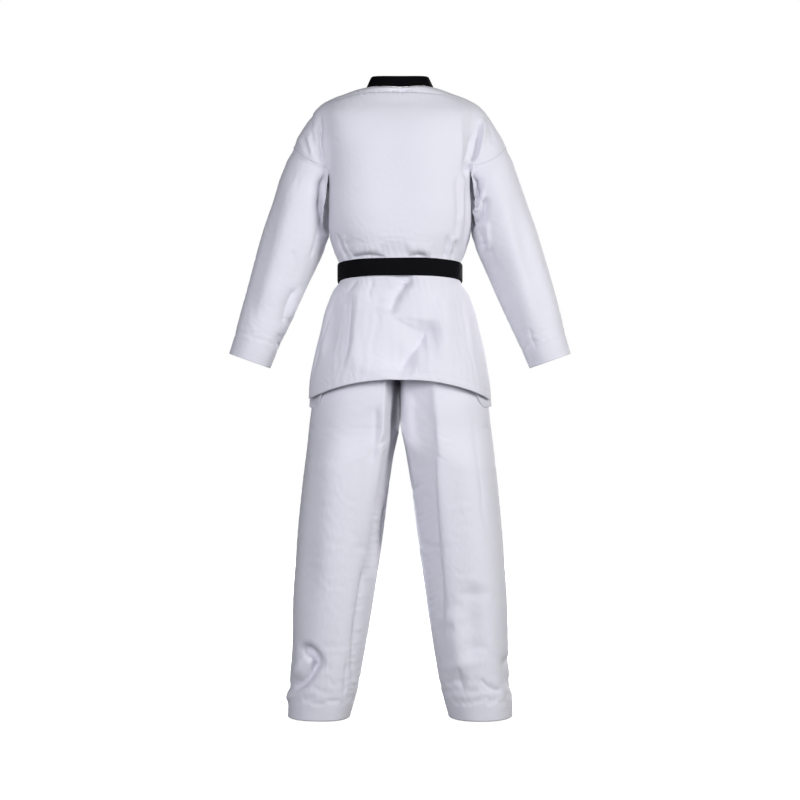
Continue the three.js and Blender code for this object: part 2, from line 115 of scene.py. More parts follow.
def smooth_rows(table, steps):
    """Rows between a table's rows, steps to each gap, on Catmull-Rom curves."""
    rows = np.array(table, float)
    padded = np.vstack([2 * rows[0] - rows[1], rows, 2 * rows[-1] - rows[-2]])
    found = []
    for i in range(len(rows) - 1):
        a, b, c, d = padded[i : i + 4]
        count = steps if isinstance(steps, int) else steps[i]
        for k in range(count):
            t = k / count
            found.append(0.5 * (2 * b + (c - a) * t + (2 * a - 5 * b + 4 * c - d) * t**2
                                + (3 * b - a - 3 * c + d) * t**3))
    found.append(rows[-1])
    return np.array(found)


def oval(angles, power):
    """Unit rounded oval: x and y at each angle."""
    c, s = np.cos(angles), np.sin(angles)
    return np.sign(c) * np.abs(c) ** (2 / power), np.sign(s) * np.abs(s) ** (2 / power)


def new_object(name, points, faces):
    mesh = bpy.data.meshes.new(name)
    mesh.from_pydata([tuple(p) for p in points], [], faces)
    mesh.update()
    obj = bpy.data.objects.new(name, mesh)
    bpy.context.scene.collection.objects.link(obj)
    for polygon in mesh.polygons:
        polygon.use_smooth = True
    return obj


def face_outwards(obj, centres):
    """Turns the faces over if they look inwards, where centres has a point inside for each vertex."""
    inwards = (get_normals(obj) * (get_points(obj) - centres)).sum()
    if inwards < 0:
        obj.data.flip_normals()


def grid_faces(rows, columns, closed):
    """Quads over a grid of points, row after row."""
    faces = []
    span = columns if closed else columns - 1
    for i in range(rows - 1):
        for j in range(span):
            k = (j + 1) % columns
            faces.append((i * columns + j, i * columns + k, (i + 1) * columns + k, (i + 1) * columns + j))
    return faces


def vertex_values(obj, kind):
    values = np.empty(len(obj.data.vertices) * 3, np.float32)
    obj.data.vertices.foreach_get(kind, values)
    return values.reshape(-1, 3).astype(float)


def get_points(obj):
    return vertex_values(obj, "co")


def get_normals(obj):
    return vertex_values(obj, "normal")


def set_points(obj, points):
    obj.data.vertices.foreach_set("co", np.asarray(points, np.float32).ravel())
    obj.data.update()


def push(obj, lift):
    """Moves each point this far along its normal."""
    set_points(obj, get_points(obj) + get_normals(obj) * lift[:, None])


def tree_of(obj):
    """A search tree over the faces of a piece."""
    return BVHTree.FromPolygons([v.co for v in obj.data.vertices], [p.vertices for p in obj.data.polygons])


def join(obj, *others):
    """Makes the other objects part of this one."""
    bpy.ops.object.select_all(action="DESELECT")
    for one in (*others, obj):
        one.select_set(True)
    bpy.context.view_layer.objects.active = obj
    bpy.ops.object.join()


def lengths_along(path):
    """How far along a path each of its points is."""
    return np.concatenate([[0], np.cumsum(np.linalg.norm(np.diff(path, axis=0), axis=1))])


def places_on(path, lengths, distances):
    """The points at these distances along a path."""
    return np.stack([np.interp(distances, lengths, path[:, k]) for k in range(3)], 1)


def apply_modifiers(obj):
    """Writes what the modifiers make into the mesh, and removes them."""
    graph = bpy.context.evaluated_depsgraph_get()
    made = bpy.data.meshes.new_from_object(obj.evaluated_get(graph), depsgraph=graph)
    obj.modifiers.clear()
    obj.data = made


def mirrored(obj, name):
    """A copy of a left piece for the right side."""
    copy = obj.copy()
    copy.data = obj.data.copy()
    copy.name = name
    bpy.context.scene.collection.objects.link(copy)
    copy.data.transform(Matrix.Scale(-1, 4, (1, 0, 0)))
    copy.data.flip_normals()
    return copy


def step(x, low, high):
    """0 at low, 1 at high, smooth between."""
    t = np.clip((np.asarray(x) - low) / (high - low), 0, 1)
    return t * t * (3 - 2 * t)


def slope_at(height):
    return BELT_SLOPE * np.maximum(0, 1 - np.maximum(0, np.abs(height) - 0.021) / 0.067)


def body_power(height, facing):
    """How square the jacket is: squarer across the shoulder blades than in front and at the waist."""
    chest = step(height, 0.05, 0.16) * (1 - step(height, 0.35, 0.40))
    return WAIST_POWER + 1.3 * chest * (facing > 0)


def body_grid():
    """Points on the jacket's body: rows of heights by columns of angles."""
    angles = np.linspace(0, 2 * np.pi, 96, endpoint=False)
    rows = []
    for height, width, depth, drop in smooth_rows(BODY_RINGS, 3):
        x, y = oval(angles, body_power(height, np.sin(angles)))
        px, py = x * width, y * depth
        rows.append(np.stack([px, py, height + slope_at(height) * py - drop * np.cos(angles) ** 2], 1))
    return np.array(rows)


def cut_away(obj, level):
    """Removes what lies where level(points) > 0, and moves the new edge onto level 0."""
    points = get_points(obj)
    value = level(points)
    eps = 1e-4
    grad = np.stack([(level(points + eps * axis) - value) / eps for axis in np.eye(3)], 1)
    length = np.linalg.norm(grad, axis=1) + 1e-9
    near = np.abs(value) / length < 0.0042
    moved = points - grad * (value / length**2)[:, None]
    points[near] = moved[near]
    set_points(obj, points)
    value = np.where(near, 0.0, value)
    bm = bmesh.new()
    bm.from_mesh(obj.data)
    bm.verts.ensure_lookup_table()
    doomed = [f for f in bm.faces if any(value[v.index] > 1e-6 for v in f.verts)
              or all(abs(value[v.index]) <= 1e-6 for v in f.verts)]
    bmesh.ops.delete(bm, geom=doomed, context="FACES")
    bmesh.ops.delete(bm, geom=[v for v in bm.verts if not v.link_faces], context="VERTS")
    bm.to_mesh(obj.data)
    bm.free()
    obj.data.update()


# ------------------------------------------------------------------ cloth surfaces


def closed_loft(name, grid):
    """A filled body through rows of rings."""
    rows, columns = grid.shape[:2]
    points = list(grid.reshape(-1, 3)) + [grid[0].mean(0), grid[-1].mean(0)]
    faces = grid_faces(rows, columns, True)
    first, last = rows * columns, rows * columns + 1
    for j in range(columns):
        k = (j + 1) % columns
        faces.append((first, k, j))
        faces.append((last, (rows - 1) * columns + j, (rows - 1) * columns + k))
    return new_object(name, points, faces)


def arm_points(along, across, depth):
    """Points of the left arm from distances along it, out from it and backwards."""
    ways = [(along, ARM_AXIS), (across, ARM_OUT), (depth, (0, 1, 0))]
    return np.array(SHOULDER) + sum(np.multiply.outer(distance, np.array(way)) for distance, way in ways)


def shoulder_cap():
    """The filled top of the left arm, as far as just past the drop-shoulder seam."""
    angles = np.linspace(0, 2 * np.pi, 48, endpoint=False)
    x, y = oval(angles, ARM_POWER)
    rows = []
    for along, width, depth in smooth_rows(ARM_RINGS, 3):
        px, py = width * x, depth * y
        limit = np.sqrt(np.maximum((SEAM_RADIUS + 0.012) ** 2 - px**2, 0))
        rows.append(arm_points(np.minimum(along, limit), px, py))
        if along > 0.15:
            break
    return closed_loft("shoulder_cap", np.array(rows))


def jacket_body():
    """The jacket above the belt with both shoulder panels, as one sheet, and a tree of it before the cuts."""
    body = closed_loft("jacket_cloth", body_grid())
    cap = shoulder_cap()
    join(body, cap, mirrored(cap, "other_cap"))
    remesh = body.modifiers.new("remesh", "REMESH")
    remesh.mode = "VOXEL"
    remesh.voxel_size = VOXEL
    apply_modifiers(body)
    for polygon in body.data.polygons:
        polygon.use_smooth = True
    relax(body, 10)
    whole = tree_of(body)
    cut_away(body, lambda p: -0.010 - p[:, 2] + BELT_SLOPE * p[:, 1])
    cut_away(body, neck_level)
    for side in (1, -1):
        cut_away(body, lambda p: seam_level(p, side))
    raise_neck(body)
    return body, whole


def raise_neck(body):
    """Draws the cloth behind the neck up to the collar."""
    points = get_points(body)
    radial = neck_radial(points)
    near = np.exp(-np.maximum(radial - 1, 0) / 0.25) * step(points[:, 1], -0.04, 0.0)
    near *= 0.3 + 0.7 * step(radial, 1.0, 1.12)
    low = np.maximum(0, 0.4255 - points[:, 2])
    points[:, 2] += near * low * 0.9 * step(points[:, 2], 0.375, 0.41)
    set_points(body, points)


def neck_radial(p):
    """1 on the edge of the neck hole, and less inside it."""
    return (np.abs(p[:, 0] / NECK_WIDTH) ** 2 + np.abs(p[:, 1] / NECK_DEPTH) ** 2) ** 0.5


def neck_level(p):
    """Positive inside the neck hole and inside the V."""
    hole = np.minimum((1.0 - neck_radial(p)) * 0.068, p[:, 2] - 0.36)
    edge = V_WIDTH * (p[:, 2] - V_POINT) / (V_TOP - V_POINT)
    v = np.minimum((edge - np.abs(p[:, 0])) * 0.918, (-0.004 - p[:, 1]))
    return np.maximum(hole, v)


def seam_level(p, side):
    """Positive past the drop-shoulder seam on one side."""
    rel = np.stack([p[:, 0] * side - SHOULDER.x, p[:, 2] - SHOULDER.z], 1)
    radius = np.linalg.norm(rel, axis=1)
    return np.minimum(radius - SEAM_RADIUS, p[:, 0] * side - 0.172)


def relax(obj, times):
    """Laplacian smoothing, by numpy."""
    points = get_points(obj)
    edges = np.empty(len(obj.data.edges) * 2, np.int32)
    obj.data.edges.foreach_get("vertices", edges)
    a, b = edges.reshape(-1, 2).T
    count = np.bincount(np.concatenate([a, b]), minlength=len(points))[:, None]
    for _ in range(times):
        total = np.zeros_like(points)
        np.add.at(total, a, points[b])
        np.add.at(total, b, points[a])
        points += 0.5 * (total / count - points)
    set_points(obj, points)


def skirt(name, back):
    """One of the jacket's two skirts, from under the belt to the hem."""
    rows = smooth_rows(SKIRT_RINGS, [2, 2, 4, 6, 7, 8, 6])
    columns = 100
    grid = []
    for height, width, depth, drop in rows:
        low_down = step(height, -0.05, -0.12)[()]
        wide = step(height, -0.06, -0.22)[()]
        if back:
            angles = np.linspace(-0.02 + 0.26 * low_down, np.pi + 0.02, columns)
            inset, lift = 0.0, 0.0
        else:
            left_end, right_end = 0.02 + 0.62 * wide, 0.02 + 0.50 * wide
            angles = np.linspace(np.pi - right_end, 2 * np.pi + left_end, columns)
            wrapped = np.maximum(angles - 2 * np.pi, np.pi - angles)
            inset = 0.0015 + 0.0065 * step(wrapped, 0.02, 0.25)
            dip = np.where(angles > 2 * np.pi, 0.018, 0.008) * np.exp(-((wrapped - 0.30) / 0.17) ** 2)
            lift = (0.042 * step(wrapped, 0.40, 0.72) - dip) * wide
            height -= FRONT_DROP * wide
        x, y = oval(angles, WAIST_POWER)
        px, py = x * (width - inset), y * (depth - inset)
        pz = height + slope_at(height) * py - drop * np.cos(angles) ** 2 + lift
        grid.append(np.stack([px, py, pz], 1))
    grid = np.array(grid)
    obj = new_object(name, grid.reshape(-1, 3), grid_faces(len(rows), columns, False))
    face_outwards(obj, np.repeat(grid.mean(1), columns, axis=0))
    return obj


def body_half_width(z, y):
    """Half width of the jacket's body at points of these heights and depths."""
    heights, widths, depths, _ = np.array(BODY_RINGS[:UPPER_ROWS]).T
    width, depth = np.interp(z, heights, widths), np.interp(z, heights, depths)
    power = body_power(z, y)
    return width * np.clip(1 - np.abs(y / depth) ** power, 0, 1) ** (1 / power)


def arm_size(along, fine=ARM_RINGS):
    """Half width and half depth of the sleeve at distances from the shoulder."""
    distances, widths, depths = np.array(fine).T
    return np.interp(along, distances, widths), np.interp(along, distances, depths)


def sleeve(whole_jacket):
    """The left sleeve, from the drop-shoulder seam to the cuff."""
    angles = np.linspace(0, 2 * np.pi, 80, endpoint=False)
    x, y = oval(angles, ARM_POWER)
    fine = smooth_rows(ARM_RINGS, 6)
    start = np.full(len(angles), 0.09)
    for _ in range(4):
        start = np.sqrt(np.maximum(SEAM_RADIUS**2 - (arm_size(start, fine)[0] * x) ** 2, 0.0004))
    rows = []
    for t in np.linspace(0, 1, 92):
        along = start - 0.006 + (ARM_LENGTH - start + 0.006) * t
        width, depth = arm_size(along, fine)
        tuck = 0.0015 * (1 - step(along - start, 0.0, 0.004))
        p = arm_points(along, (width - tuck) * x, (depth - tuck) * y)
        wall = body_half_width(p[:, 2], p[:, 1]) + 0.0025
        p[:, 0] = np.where(p[:, 2] < 0.30, np.maximum(p[:, 0], wall), p[:, 0])
        past = np.linalg.norm(p[:, ::2] - np.array(SHOULDER)[::2], axis=1) - SEAM_RADIUS
        for k in np.nonzero(past < 0.03)[0]:
            place, normal, _, _ = whole_jacket.find_nearest(Vector(p[k]))
            share = 1 - step(past[k], 0.002, 0.03)[()]
            p[k] += share * (np.array(place - normal * 0.0011) - p[k])
        rows.append(p)
    grid = np.array(rows)
    obj = new_object("left_sleeve_cloth", grid.reshape(-1, 3), grid_faces(len(rows), len(angles), True))
    face_outwards(obj, np.repeat(grid.mean(1), len(angles), axis=0))
    return obj


def trouser_half():
    """The left half of the trousers, from the waistband to the hem."""
    count = 112
    angles = np.linspace(-np.pi / 2, 3 * np.pi / 2, count, endpoint=False)
    angles += 0.3 * np.sin(2 * angles)  # closer together by the centre seam
    c, s = np.cos(angles), np.sin(angles)
    outer = c >= -1e-9
    rows = []
    steps = [3, 6, 5, 6, 6, 6, 8, 12, 14, 14, 14, 11, 9]
    for z, inner, edge, depth, power in smooth_rows(TROUSER_RINGS, steps):
        inner, power = max(inner, 0.0), max(power, 2.3)
        joined = step(np.array([z]), CROTCH - 0.10, CROTCH)[0]  # 1 in the seat, 0 in the leg
        centre = (1 - joined) * (inner + edge) / 2 + joined * inner
        x_out = np.abs(c) ** (2 / WAIST_POWER) * (edge - centre)
        x_in = -(np.abs(c) ** (2 / power)) * (centre - inner)
        x = centre + np.where(outer, x_out, x_in)
        side = np.where(outer, WAIST_POWER, power)
        y = np.sign(s) * np.abs(s) ** (2 / side) * depth
        rows.append(np.stack([x, y, np.full(count, z)], 1))
    grid = np.array(rows)
    faces = []
    for face in grid_faces(len(rows), count, True):
        row, column = face[0] // count, face[0] % count
        if column < count // 2 or grid[row, 0, 2] <= CROTCH + 1e-6:
            faces.append(face)
    obj = new_object("left_trouser_cloth", grid.reshape(-1, 3), faces)
    face_outwards(obj, np.repeat(grid.mean(1), count, axis=0))
    return obj


# ------------------------------------------------------------------ folds


def seen(points):
    """Places as the camera sees them, on the upright plane through the shoulders: right and up."""
    scale = DISTANCE / (DISTANCE - points[:, 1])
    return np.stack([-points[:, 0] * scale, EYE + (points[:, 2] - EYE) * scale], 1)


def line_distance(places, line):
    """Distance from a line, given in mm, and how far along it, 0 to 1.

    The distance is positive to the right of a line that runs down, and above one that runs to the right.
    """
    line = np.array(line) / 1000
    if len(line) > 2:
        line = smooth_rows(line, 5)

    lengths = np.linalg.norm(np.diff(line, axis=0), axis=1)
    total = lengths.sum()
    best = np.full(len(places), 1e9)
    signed = np.zeros(len(places))
    along = np.zeros(len(places))
    done = 0.0
    for a, b, length in zip(line[:-1], line[1:], lengths):
        way = (b - a) / length
        rel = places - a
        t = np.clip(rel @ way, 0, length)
        off = rel - t[:, None] * way
        gap = np.linalg.norm(off, axis=1)
        closer = gap < best
        best = np.where(closer, gap, best)
        side = np.where(off @ np.array([-way[1], way[0]]) >= 0, 1.0, -1.0)
        signed = np.where(closer, gap * side, signed)
        along = np.where(closer, (done + t) / total, along)
        done += length
    return signed, along


def fold(obj, strokes, facing=1, calm=None, sharp=False):
    """Raises the cloth along strokes: height, widths to the left and the right, in mm, then the line's points.

    A negative height sinks it. facing is 1 for the back and -1 for the front, whose strokes are seen from
    behind too. calm is how much each point may move. sharp makes a crease at the line and not a round fold.
    """
    places = seen(get_points(obj))
    lift = np.zeros(len(places))
    for height, left_width, right_width, *line in strokes:
        gap, along = line_distance(places, line)
        width = np.where(gap < 0, left_width, right_width) / 1000
        taper = step(along, 0.0, 0.22) * (1 - step(along, 0.75, 1.0))
        waver = 1 + 0.10 * np.sin(along * 17 + height)
        shape = np.exp(-np.abs(gap) / width) if sharp else np.exp(-((gap / width) ** 2))
        lift += height / 1000 * shape * taper * waver
    if calm is not None:
        lift *= calm
    push(obj, lift * step(get_normals(obj)[:, 1] * facing, -0.35, 0.15))


def recess(obj, line, side, slope, deepest, level, soft=0.004):
    """Sinks the back of a leg beyond a line, on its right (side 1) or left (-1), as seen from behind.

    The cloth falls away at this slope, no further than deepest, and not past level above the plane y = 0.
    """
    points, normals = get_points(obj), get_normals(obj)
    gap, along = line_distance(seen(points), line)
    beyond = np.maximum(gap * side, 0)
    drop = np.minimum(slope * beyond * step(beyond, 0, soft), deepest)
    drop *= (1 - step(along, 0.72, 1.0)) * step(normals[:, 1], -0.6, -0.1) * (points[:, 1] > level)
    points[:, 1] = np.maximum(points[:, 1] - drop, np.minimum(points[:, 1], level))
    set_points(obj, points)


def billow(obj, amount, scale, seed, mask):
    """Wide, uneven waves, in metres, at this many waves to the metre each way, where the mask is 1."""
    lift = np.array([noise.noise(Vector(p)) for p in get_points(obj) * np.array(scale) + seed])
    push(obj, amount * (lift * mask))


def gather(obj, line, depth, wave, left_reach, right_reach):
    """Small puckers that start at a seam on the back and fade out on both sides of it, all in mm."""
    gap, along = line_distance(seen(get_points(obj)), line)
    total = lengths_along(np.array(line) / 1000)[-1]
    reach = np.where(gap < 0, left_reach, right_reach) / 1000 + 1e-6
    phase = along * total / (wave / 1000) * 2 * np.pi
    uneven = np.array([noise.noise(Vector((a * total * 30, depth, 0))) for a in along])
    slant = gap / (wave / 1000) * 1.6
    fade = np.exp(-np.abs(gap) / reach) * step(along, 0, 0.05) * (1 - step(along, 0.95, 1.0))
    lift = np.sin(phase + 5 * uneven + slant) * (0.6 + uneven) * fade
    push(obj, depth / 1000 * lift * step(get_normals(obj)[:, 1], -0.3, 0.1))


def add_cloth(obj, held, slack):
    """Makes a piece cloth with a share of slack, where held is how firmly each point is held."""
    group = obj.vertex_groups.new(name="held")
    levels = np.round(np.clip(held, 0, 1) * 40) / 40
    for level in np.unique(levels):
        group.add(np.nonzero(levels == level)[0].tolist(), float(level), "REPLACE")
    cloth = obj.modifiers.new("cloth", "CLOTH")
    cloth.collision_settings.use_collision = False
    cloth.point_cache.frame_start = 1
    cloth.point_cache.frame_end = SETTLE_FRAMES
    settings = cloth.settings
    settings.quality = 5
    settings.mass = 0.2
    settings.tension_stiffness = 10
    settings.compression_stiffness = 10
    settings.shear_stiffness = 4
    settings.bending_stiffness = 0.3
    settings.air_damping = 2
    settings.vertex_group_mass = group.name
    settings.pin_stiffness = 1.0
    settings.shrink_min = -slack
    settings.effector_weights.gravity = 0.25


def settle(pieces):
    """Lets the pieces settle as cloth: (piece, how firmly each point is held, slack)."""
    before = [get_points(obj) for obj, _, _ in pieces]
    for piece in pieces:
        add_cloth(*piece)
    for number in range(1, SETTLE_FRAMES + 1):
        bpy.context.scene.frame_set(number)
    for (obj, _, _), start in zip(pieces, before):
        apply_modifiers(obj)
        moved = get_points(obj) - start
        size = np.linalg.norm(moved, axis=1)
        set_points(obj, start + moved * np.minimum(1, SETTLE_REACH / np.maximum(size, 1e-9))[:, None])
        obj.vertex_groups.clear()
    bpy.context.scene.frame_set(1)


def refine(obj):
    smooth = obj.modifiers.new("smooth", "SUBSURF")
    smooth.levels = smooth.render_levels = 1
    apply_modifiers(obj)


def thicken(obj, thickness=CLOTH):
    thick = obj.modifiers.new("thickness", "SOLIDIFY")
    thick.thickness = thickness
    thick.offset = -1
    apply_modifiers(obj)


# ------------------------------------------------------------------ seams

# A stitch: its two ends, and between them its left, top, right and bottom.
STITCH_FACES = ((0, 2, 1), (0, 3, 2), (4, 1, 2), (4, 2, 3), (0, 1, 5), (0, 5, 3), (4, 5, 1), (4, 3, 5))


class Seams:
    """Rows of stitches that lie on one piece of cloth, collected and then sewn on as one mesh."""

    def __init__(self, obj):
        self.obj = obj
        self.tree = tree_of(obj)
        self.points, self.faces = [], []

    def row(self, path, reach=0.02):
        """One row along a path that is near the cloth."""
        path = np.array(path, float)
        lengths = lengths_along(path)
        for start in np.arange(0, lengths[-1] - STITCH, STITCH + STITCH_GAP):
            ends = [Vector(p) for p in places_on(path, lengths, (start, start + STITCH))]
            hits = [self.tree.find_nearest(end, reach) for end in ends]
            if any(hit[0] is None for hit in hits):
                continue
            (a, normal, _, _), (b, _, _, _) = hits
            if not 0.5 * STITCH < (b - a).length < 1.6 * STITCH:
                continue
            side = (b - a).normalized().cross(normal).normalized() * 0.0004
            middle = (a + b) / 2
            base = len(self.points)
            self.points += [a - normal * 0.0001, middle + side, middle + normal * 0.00055, middle - side,
                            b - normal * 0.0001, middle - normal * 0.0002]
            self.faces += [tuple(base + corner for corner in face) for face in STITCH_FACES]

    def sew(self, thread):
        """Joins the stitches to the cloth, as its second material."""
        if not self.points:
            return
        mesh = bpy.data.meshes.new("stitches")
        mesh.from_pydata([tuple(p) for p in self.points], [], self.faces)
        stitches = bpy.data.objects.new("stitches", mesh)
        bpy.context.scene.collection.objects.link(stitches)
        mesh.materials.append(thread)
        join(self.obj, stitches)


# ------------------------------------------------------------------ black bands


def band_profile():
    """Places across a stitched band, -1 to 1, and how deep its face is there, 1 at a row of stitches."""
    places, depths = [], []
    for k in range(4 * STITCH_ROWS + 1):
        places.append(-1 + 2 * k / (4 * STITCH_ROWS))
        depths.append(1.0 if k % 4 == 2 else 0.25 if k % 2 else 0.0)
    return np.array(places), np.array(depths)


def band(name, low, high, out, thickness, closed=False):
    """A stitched band between two edges, with its face towards out: arrays of points along it."""
    places, depths = band_profile()
    low, high, out = (np.asarray(v, float) for v in (low, high, out))
    count = len(low)
    share = (places + 1) / 2
    round_off = 0.35 * thickness * np.abs(places) ** 24
    front = (low[:, None] * (1 - share)[None, :, None] + high[:, None] * share[None, :, None]
             + out[:, None] * (thickness - depths * GROOVE - round_off)[None, :, None])
    behind = [high, high * 0.7 + low * 0.3, high * 0.3 + low * 0.7, low]
    ring = np.concatenate([front, np.stack(behind, 1)], 1)
    columns = ring.shape[1]
    points = ring.reshape(-1, 3)
    faces = grid_faces(count + (1 if closed else 0), columns, True)
    if closed:
        faces = [tuple(v % len(points) for v in f) for f in faces]
    else:
        last = (count - 1) * columns
        faces += [tuple(range(columns)), tuple(last + v for v in reversed(range(columns)))]
    obj = new_object(name, points, faces)
    bm = bmesh.new()
    bm.from_mesh(obj.data)
    bmesh.ops.recalc_face_normals(bm, faces=bm.faces)
    bm.to_mesh(obj.data)
    bm.free()
    for polygon in obj.data.polygons:
        polygon.use_smooth = len(polygon.vertices) == 4
    return obj


def belt_turn(name, lift, drop, waver):
    """One turn round the waist, with its inner face this far outside the jacket."""
    angles = np.linspace(0, 2 * np.pi, 220, endpoint=False)
    x, y = oval(angles, WAIST_POWER)
    edges = []
    for side in (-1, 1):
        wave = waver * (np.sin(3 * angles + 0.6 * side) + 0.6 * np.sin(7 * angles + side))
        py = y * (WAIST_DEPTH + lift)
        pz = side * BELT_WIDTH / 2 + BELT_SLOPE * py + wave - drop
        edges.append(np.stack([x * (WAIST_WIDTH + lift), py, pz], 1))
    out = np.stack([np.cos(angles), np.sin(angles), np.zeros(len(angles))], 1)
    return band(name, edges[0], edges[1], out, BELT_TURN, closed=True)


def smoothed(rows, times):
    rows = np.array(rows, float)
    for _ in range(times):
        rows[1:-1] = (rows[:-2] + 2 * rows[1:-1] + rows[2:]) / 4
    return rows


def lifted(rows, cloth, gap):
    """Points moved out to this far above the cloth, where they were nearer or under it."""
    found = []
    for p in rows:
        place, normal, _, distance = cloth.find_nearest(Vector(p))
        above = (Vector(p) - place).dot(normal)
        found.append(place + normal * gap if distance < 0.02 and above < gap else Vector(p))
    return np.array([tuple(p) for p in found])


def facing_away(run, wide, centres):
    """Directions square to a band that runs along run and lies along wide, away from the centres."""
    out = np.cross(run, wide)
    out /= np.linalg.norm(out, axis=1)[:, None]
    return -out if (out * centres).sum() < 0 else out


def collar(skin, cloth):
    """The band sewn round the neck and down both edges of the V, the left end over the right."""
    along = Vector((V_WIDTH, V_TOP - V_POINT)).normalized()
    aside = Vector((along.y, -along.x))

    def on_front(x, z, lift):
        hit = skin.ray_cast(Vector((x, -1, z)), Vector((0, 1, 0)))
        y = hit[0].y if hit[0] is not None else -0.062
        return (x, y - lift, z)

    def front_rows(side, lowest, lift):
        outer, inner = [], []
        for h in np.arange(lowest, 0.146, 0.006):
            rise = step(h, 0.10, 0.15)[()]
            above = lift * (1 - step(h, -0.01, 0.08)[()]) + 0.0006
            for rows, off in ((outer, 0.012), (inner, -0.028 + 0.010 * rise)):
                x, z = along.x * h + aside.x * off, V_POINT + along.y * h + aside.y * off
                rows.append(on_front(side * x, min(z, 0.404), above))
        return outer, inner

    left_outer, left_inner = front_rows(1, -0.036, 0.0034)
    right_outer, right_inner = front_rows(-1, 0.016, 0.0)
    neck_outer, neck_inner = [], []
    for angle in np.radians(np.arange(-14, 195, 6)):
        c = math.cos(angle)
        (x,), (y,) = oval(np.array([angle]), WAIST_POWER)
        base = 0.421 + 0.008 * c * c
        neck_outer.append((x * 0.0765, y * 0.0625, base - 0.004))
        neck_inner.append((x * 0.0665, y * 0.0535, base + 0.0225 - 0.002 * c * c))
    outer = smoothed(left_outer + neck_outer + right_outer[::-1], 6)
    inner = smoothed(left_inner + neck_inner + right_inner[::-1], 6)
    lengths = lengths_along(outer)
    places = np.linspace(0, lengths[-1], int(lengths[-1] / 0.005))
    outer, inner = (places_on(line, lengths, places) for line in (outer, inner))
    outer = smoothed(lifted(outer, cloth, 0.0018), 2)
    middle = (outer + inner) / 2
    out = facing_away(np.gradient(middle, axis=0), inner - outer, middle * np.array([1, 1, 0]))
    return band("collar_band", outer, inner, out, 0.0022)


def tail(side):
    """One hanging end of the belt, two layers thick, with a slight curl."""
    steps = np.linspace(-0.085, 1, 50)
    hanging = np.maximum(steps, 0)
    hinge = np.array([side * 0.0205, -0.110, -0.040])
    length, half = 0.266, 0.0188
    spread, tilt = math.radians(15), math.radians(11.5)
    turn = Matrix.Rotation(-tilt, 3, "X") @ Matrix.Rotation(-side * spread, 3, "Y")
    down, wide, out = (np.array(turn @ Vector(v)) for v in ((0, 0, -1), (1, 0, 0), (0, -1, 0)))
    middle = hinge + np.outer(steps * length, down) + np.outer(0.0022 * np.sin(hanging * 6.0), out)
    twist = 0.14 * np.sin(hanging * 3.2) * side
    wides = np.outer(np.cos(twist), wide) + np.outer(np.sin(twist), out)
    outs = np.outer(np.cos(twist), out) - np.outer(np.sin(twist), wide)
    base = middle + outs * 0.0012
    name = "left_tail" if side > 0 else "right_tail"
    return band(name, base - wides * half, base + wides * half, outs, 0.0036)


# How far forward each ring of the knot is, 0 to 1, and its size.
KNOT_RINGS = [
    (0, 0.90), (0.12, 0.97), (0.3, 1.0), (0.55, 0.99), (0.75, 0.93), (0.9, 0.82), (0.97, 0.68), (1, 0.45),
]
KNOT_HEIGHT = -0.008


def knot_core():
    """The folded-up middle of the knot, a soft block on the face of the belt."""
    half_width, half_height, face, depth = 0.027, 0.020, -0.1025, 0.022
    angles = np.linspace(0, 2 * np.pi, 72, endpoint=False)
    x, z = oval(angles, 3.4)
    rows = []
    for t, scale in KNOT_RINGS:
        size = scale * (1 - 0.05 * np.exp(-(((t - 0.45) / 0.06) ** 2)))
        pz = KNOT_HEIGHT + z * half_height * size
        rows.append(np.stack([x * half_width * size, np.full(len(x), face - depth * t), pz], 1))
    obj = closed_loft("knot_core", np.array(rows))
    face_outwards(obj, np.array([0, face - depth / 2, KNOT_HEIGHT]))
    refine(obj)
    return obj


def knot_wrap():
    """The belt's last pass over the knot, from the top left to the bottom right as worn."""
    steps = np.linspace(-1, 1, 33)
    slant, rise = 0.0045, 0.0212
    arch = (1 - np.abs(steps) ** 5) ** 0.5
    middle = np.stack([slant * steps, -0.1045 - 0.0215 * arch, KNOT_HEIGHT + rise * steps], 1)
    half = 0.0170 - 0.0025 * np.abs(steps) ** 2
    wide = np.stack([half, np.zeros(len(steps)), -half * slant / rise], 1)
    out = facing_away(np.gradient(middle, axis=0), wide, np.array([0, -1, 0]))
    return band("knot_over", middle - wide, middle + wide, out, 0.0020)


# ------------------------------------------------------------------ finishes


def add_node(tree, kind, values, links=()):
    """A node with these values in its inputs, and its other inputs linked from these outputs."""
    node = tree.nodes.new(kind)
    for socket, value in dict(values).items():
        node.inputs[socket].default_value = value
    for socket, output in dict(links).items():
        tree.links.new(output, node.inputs[socket])
    return node


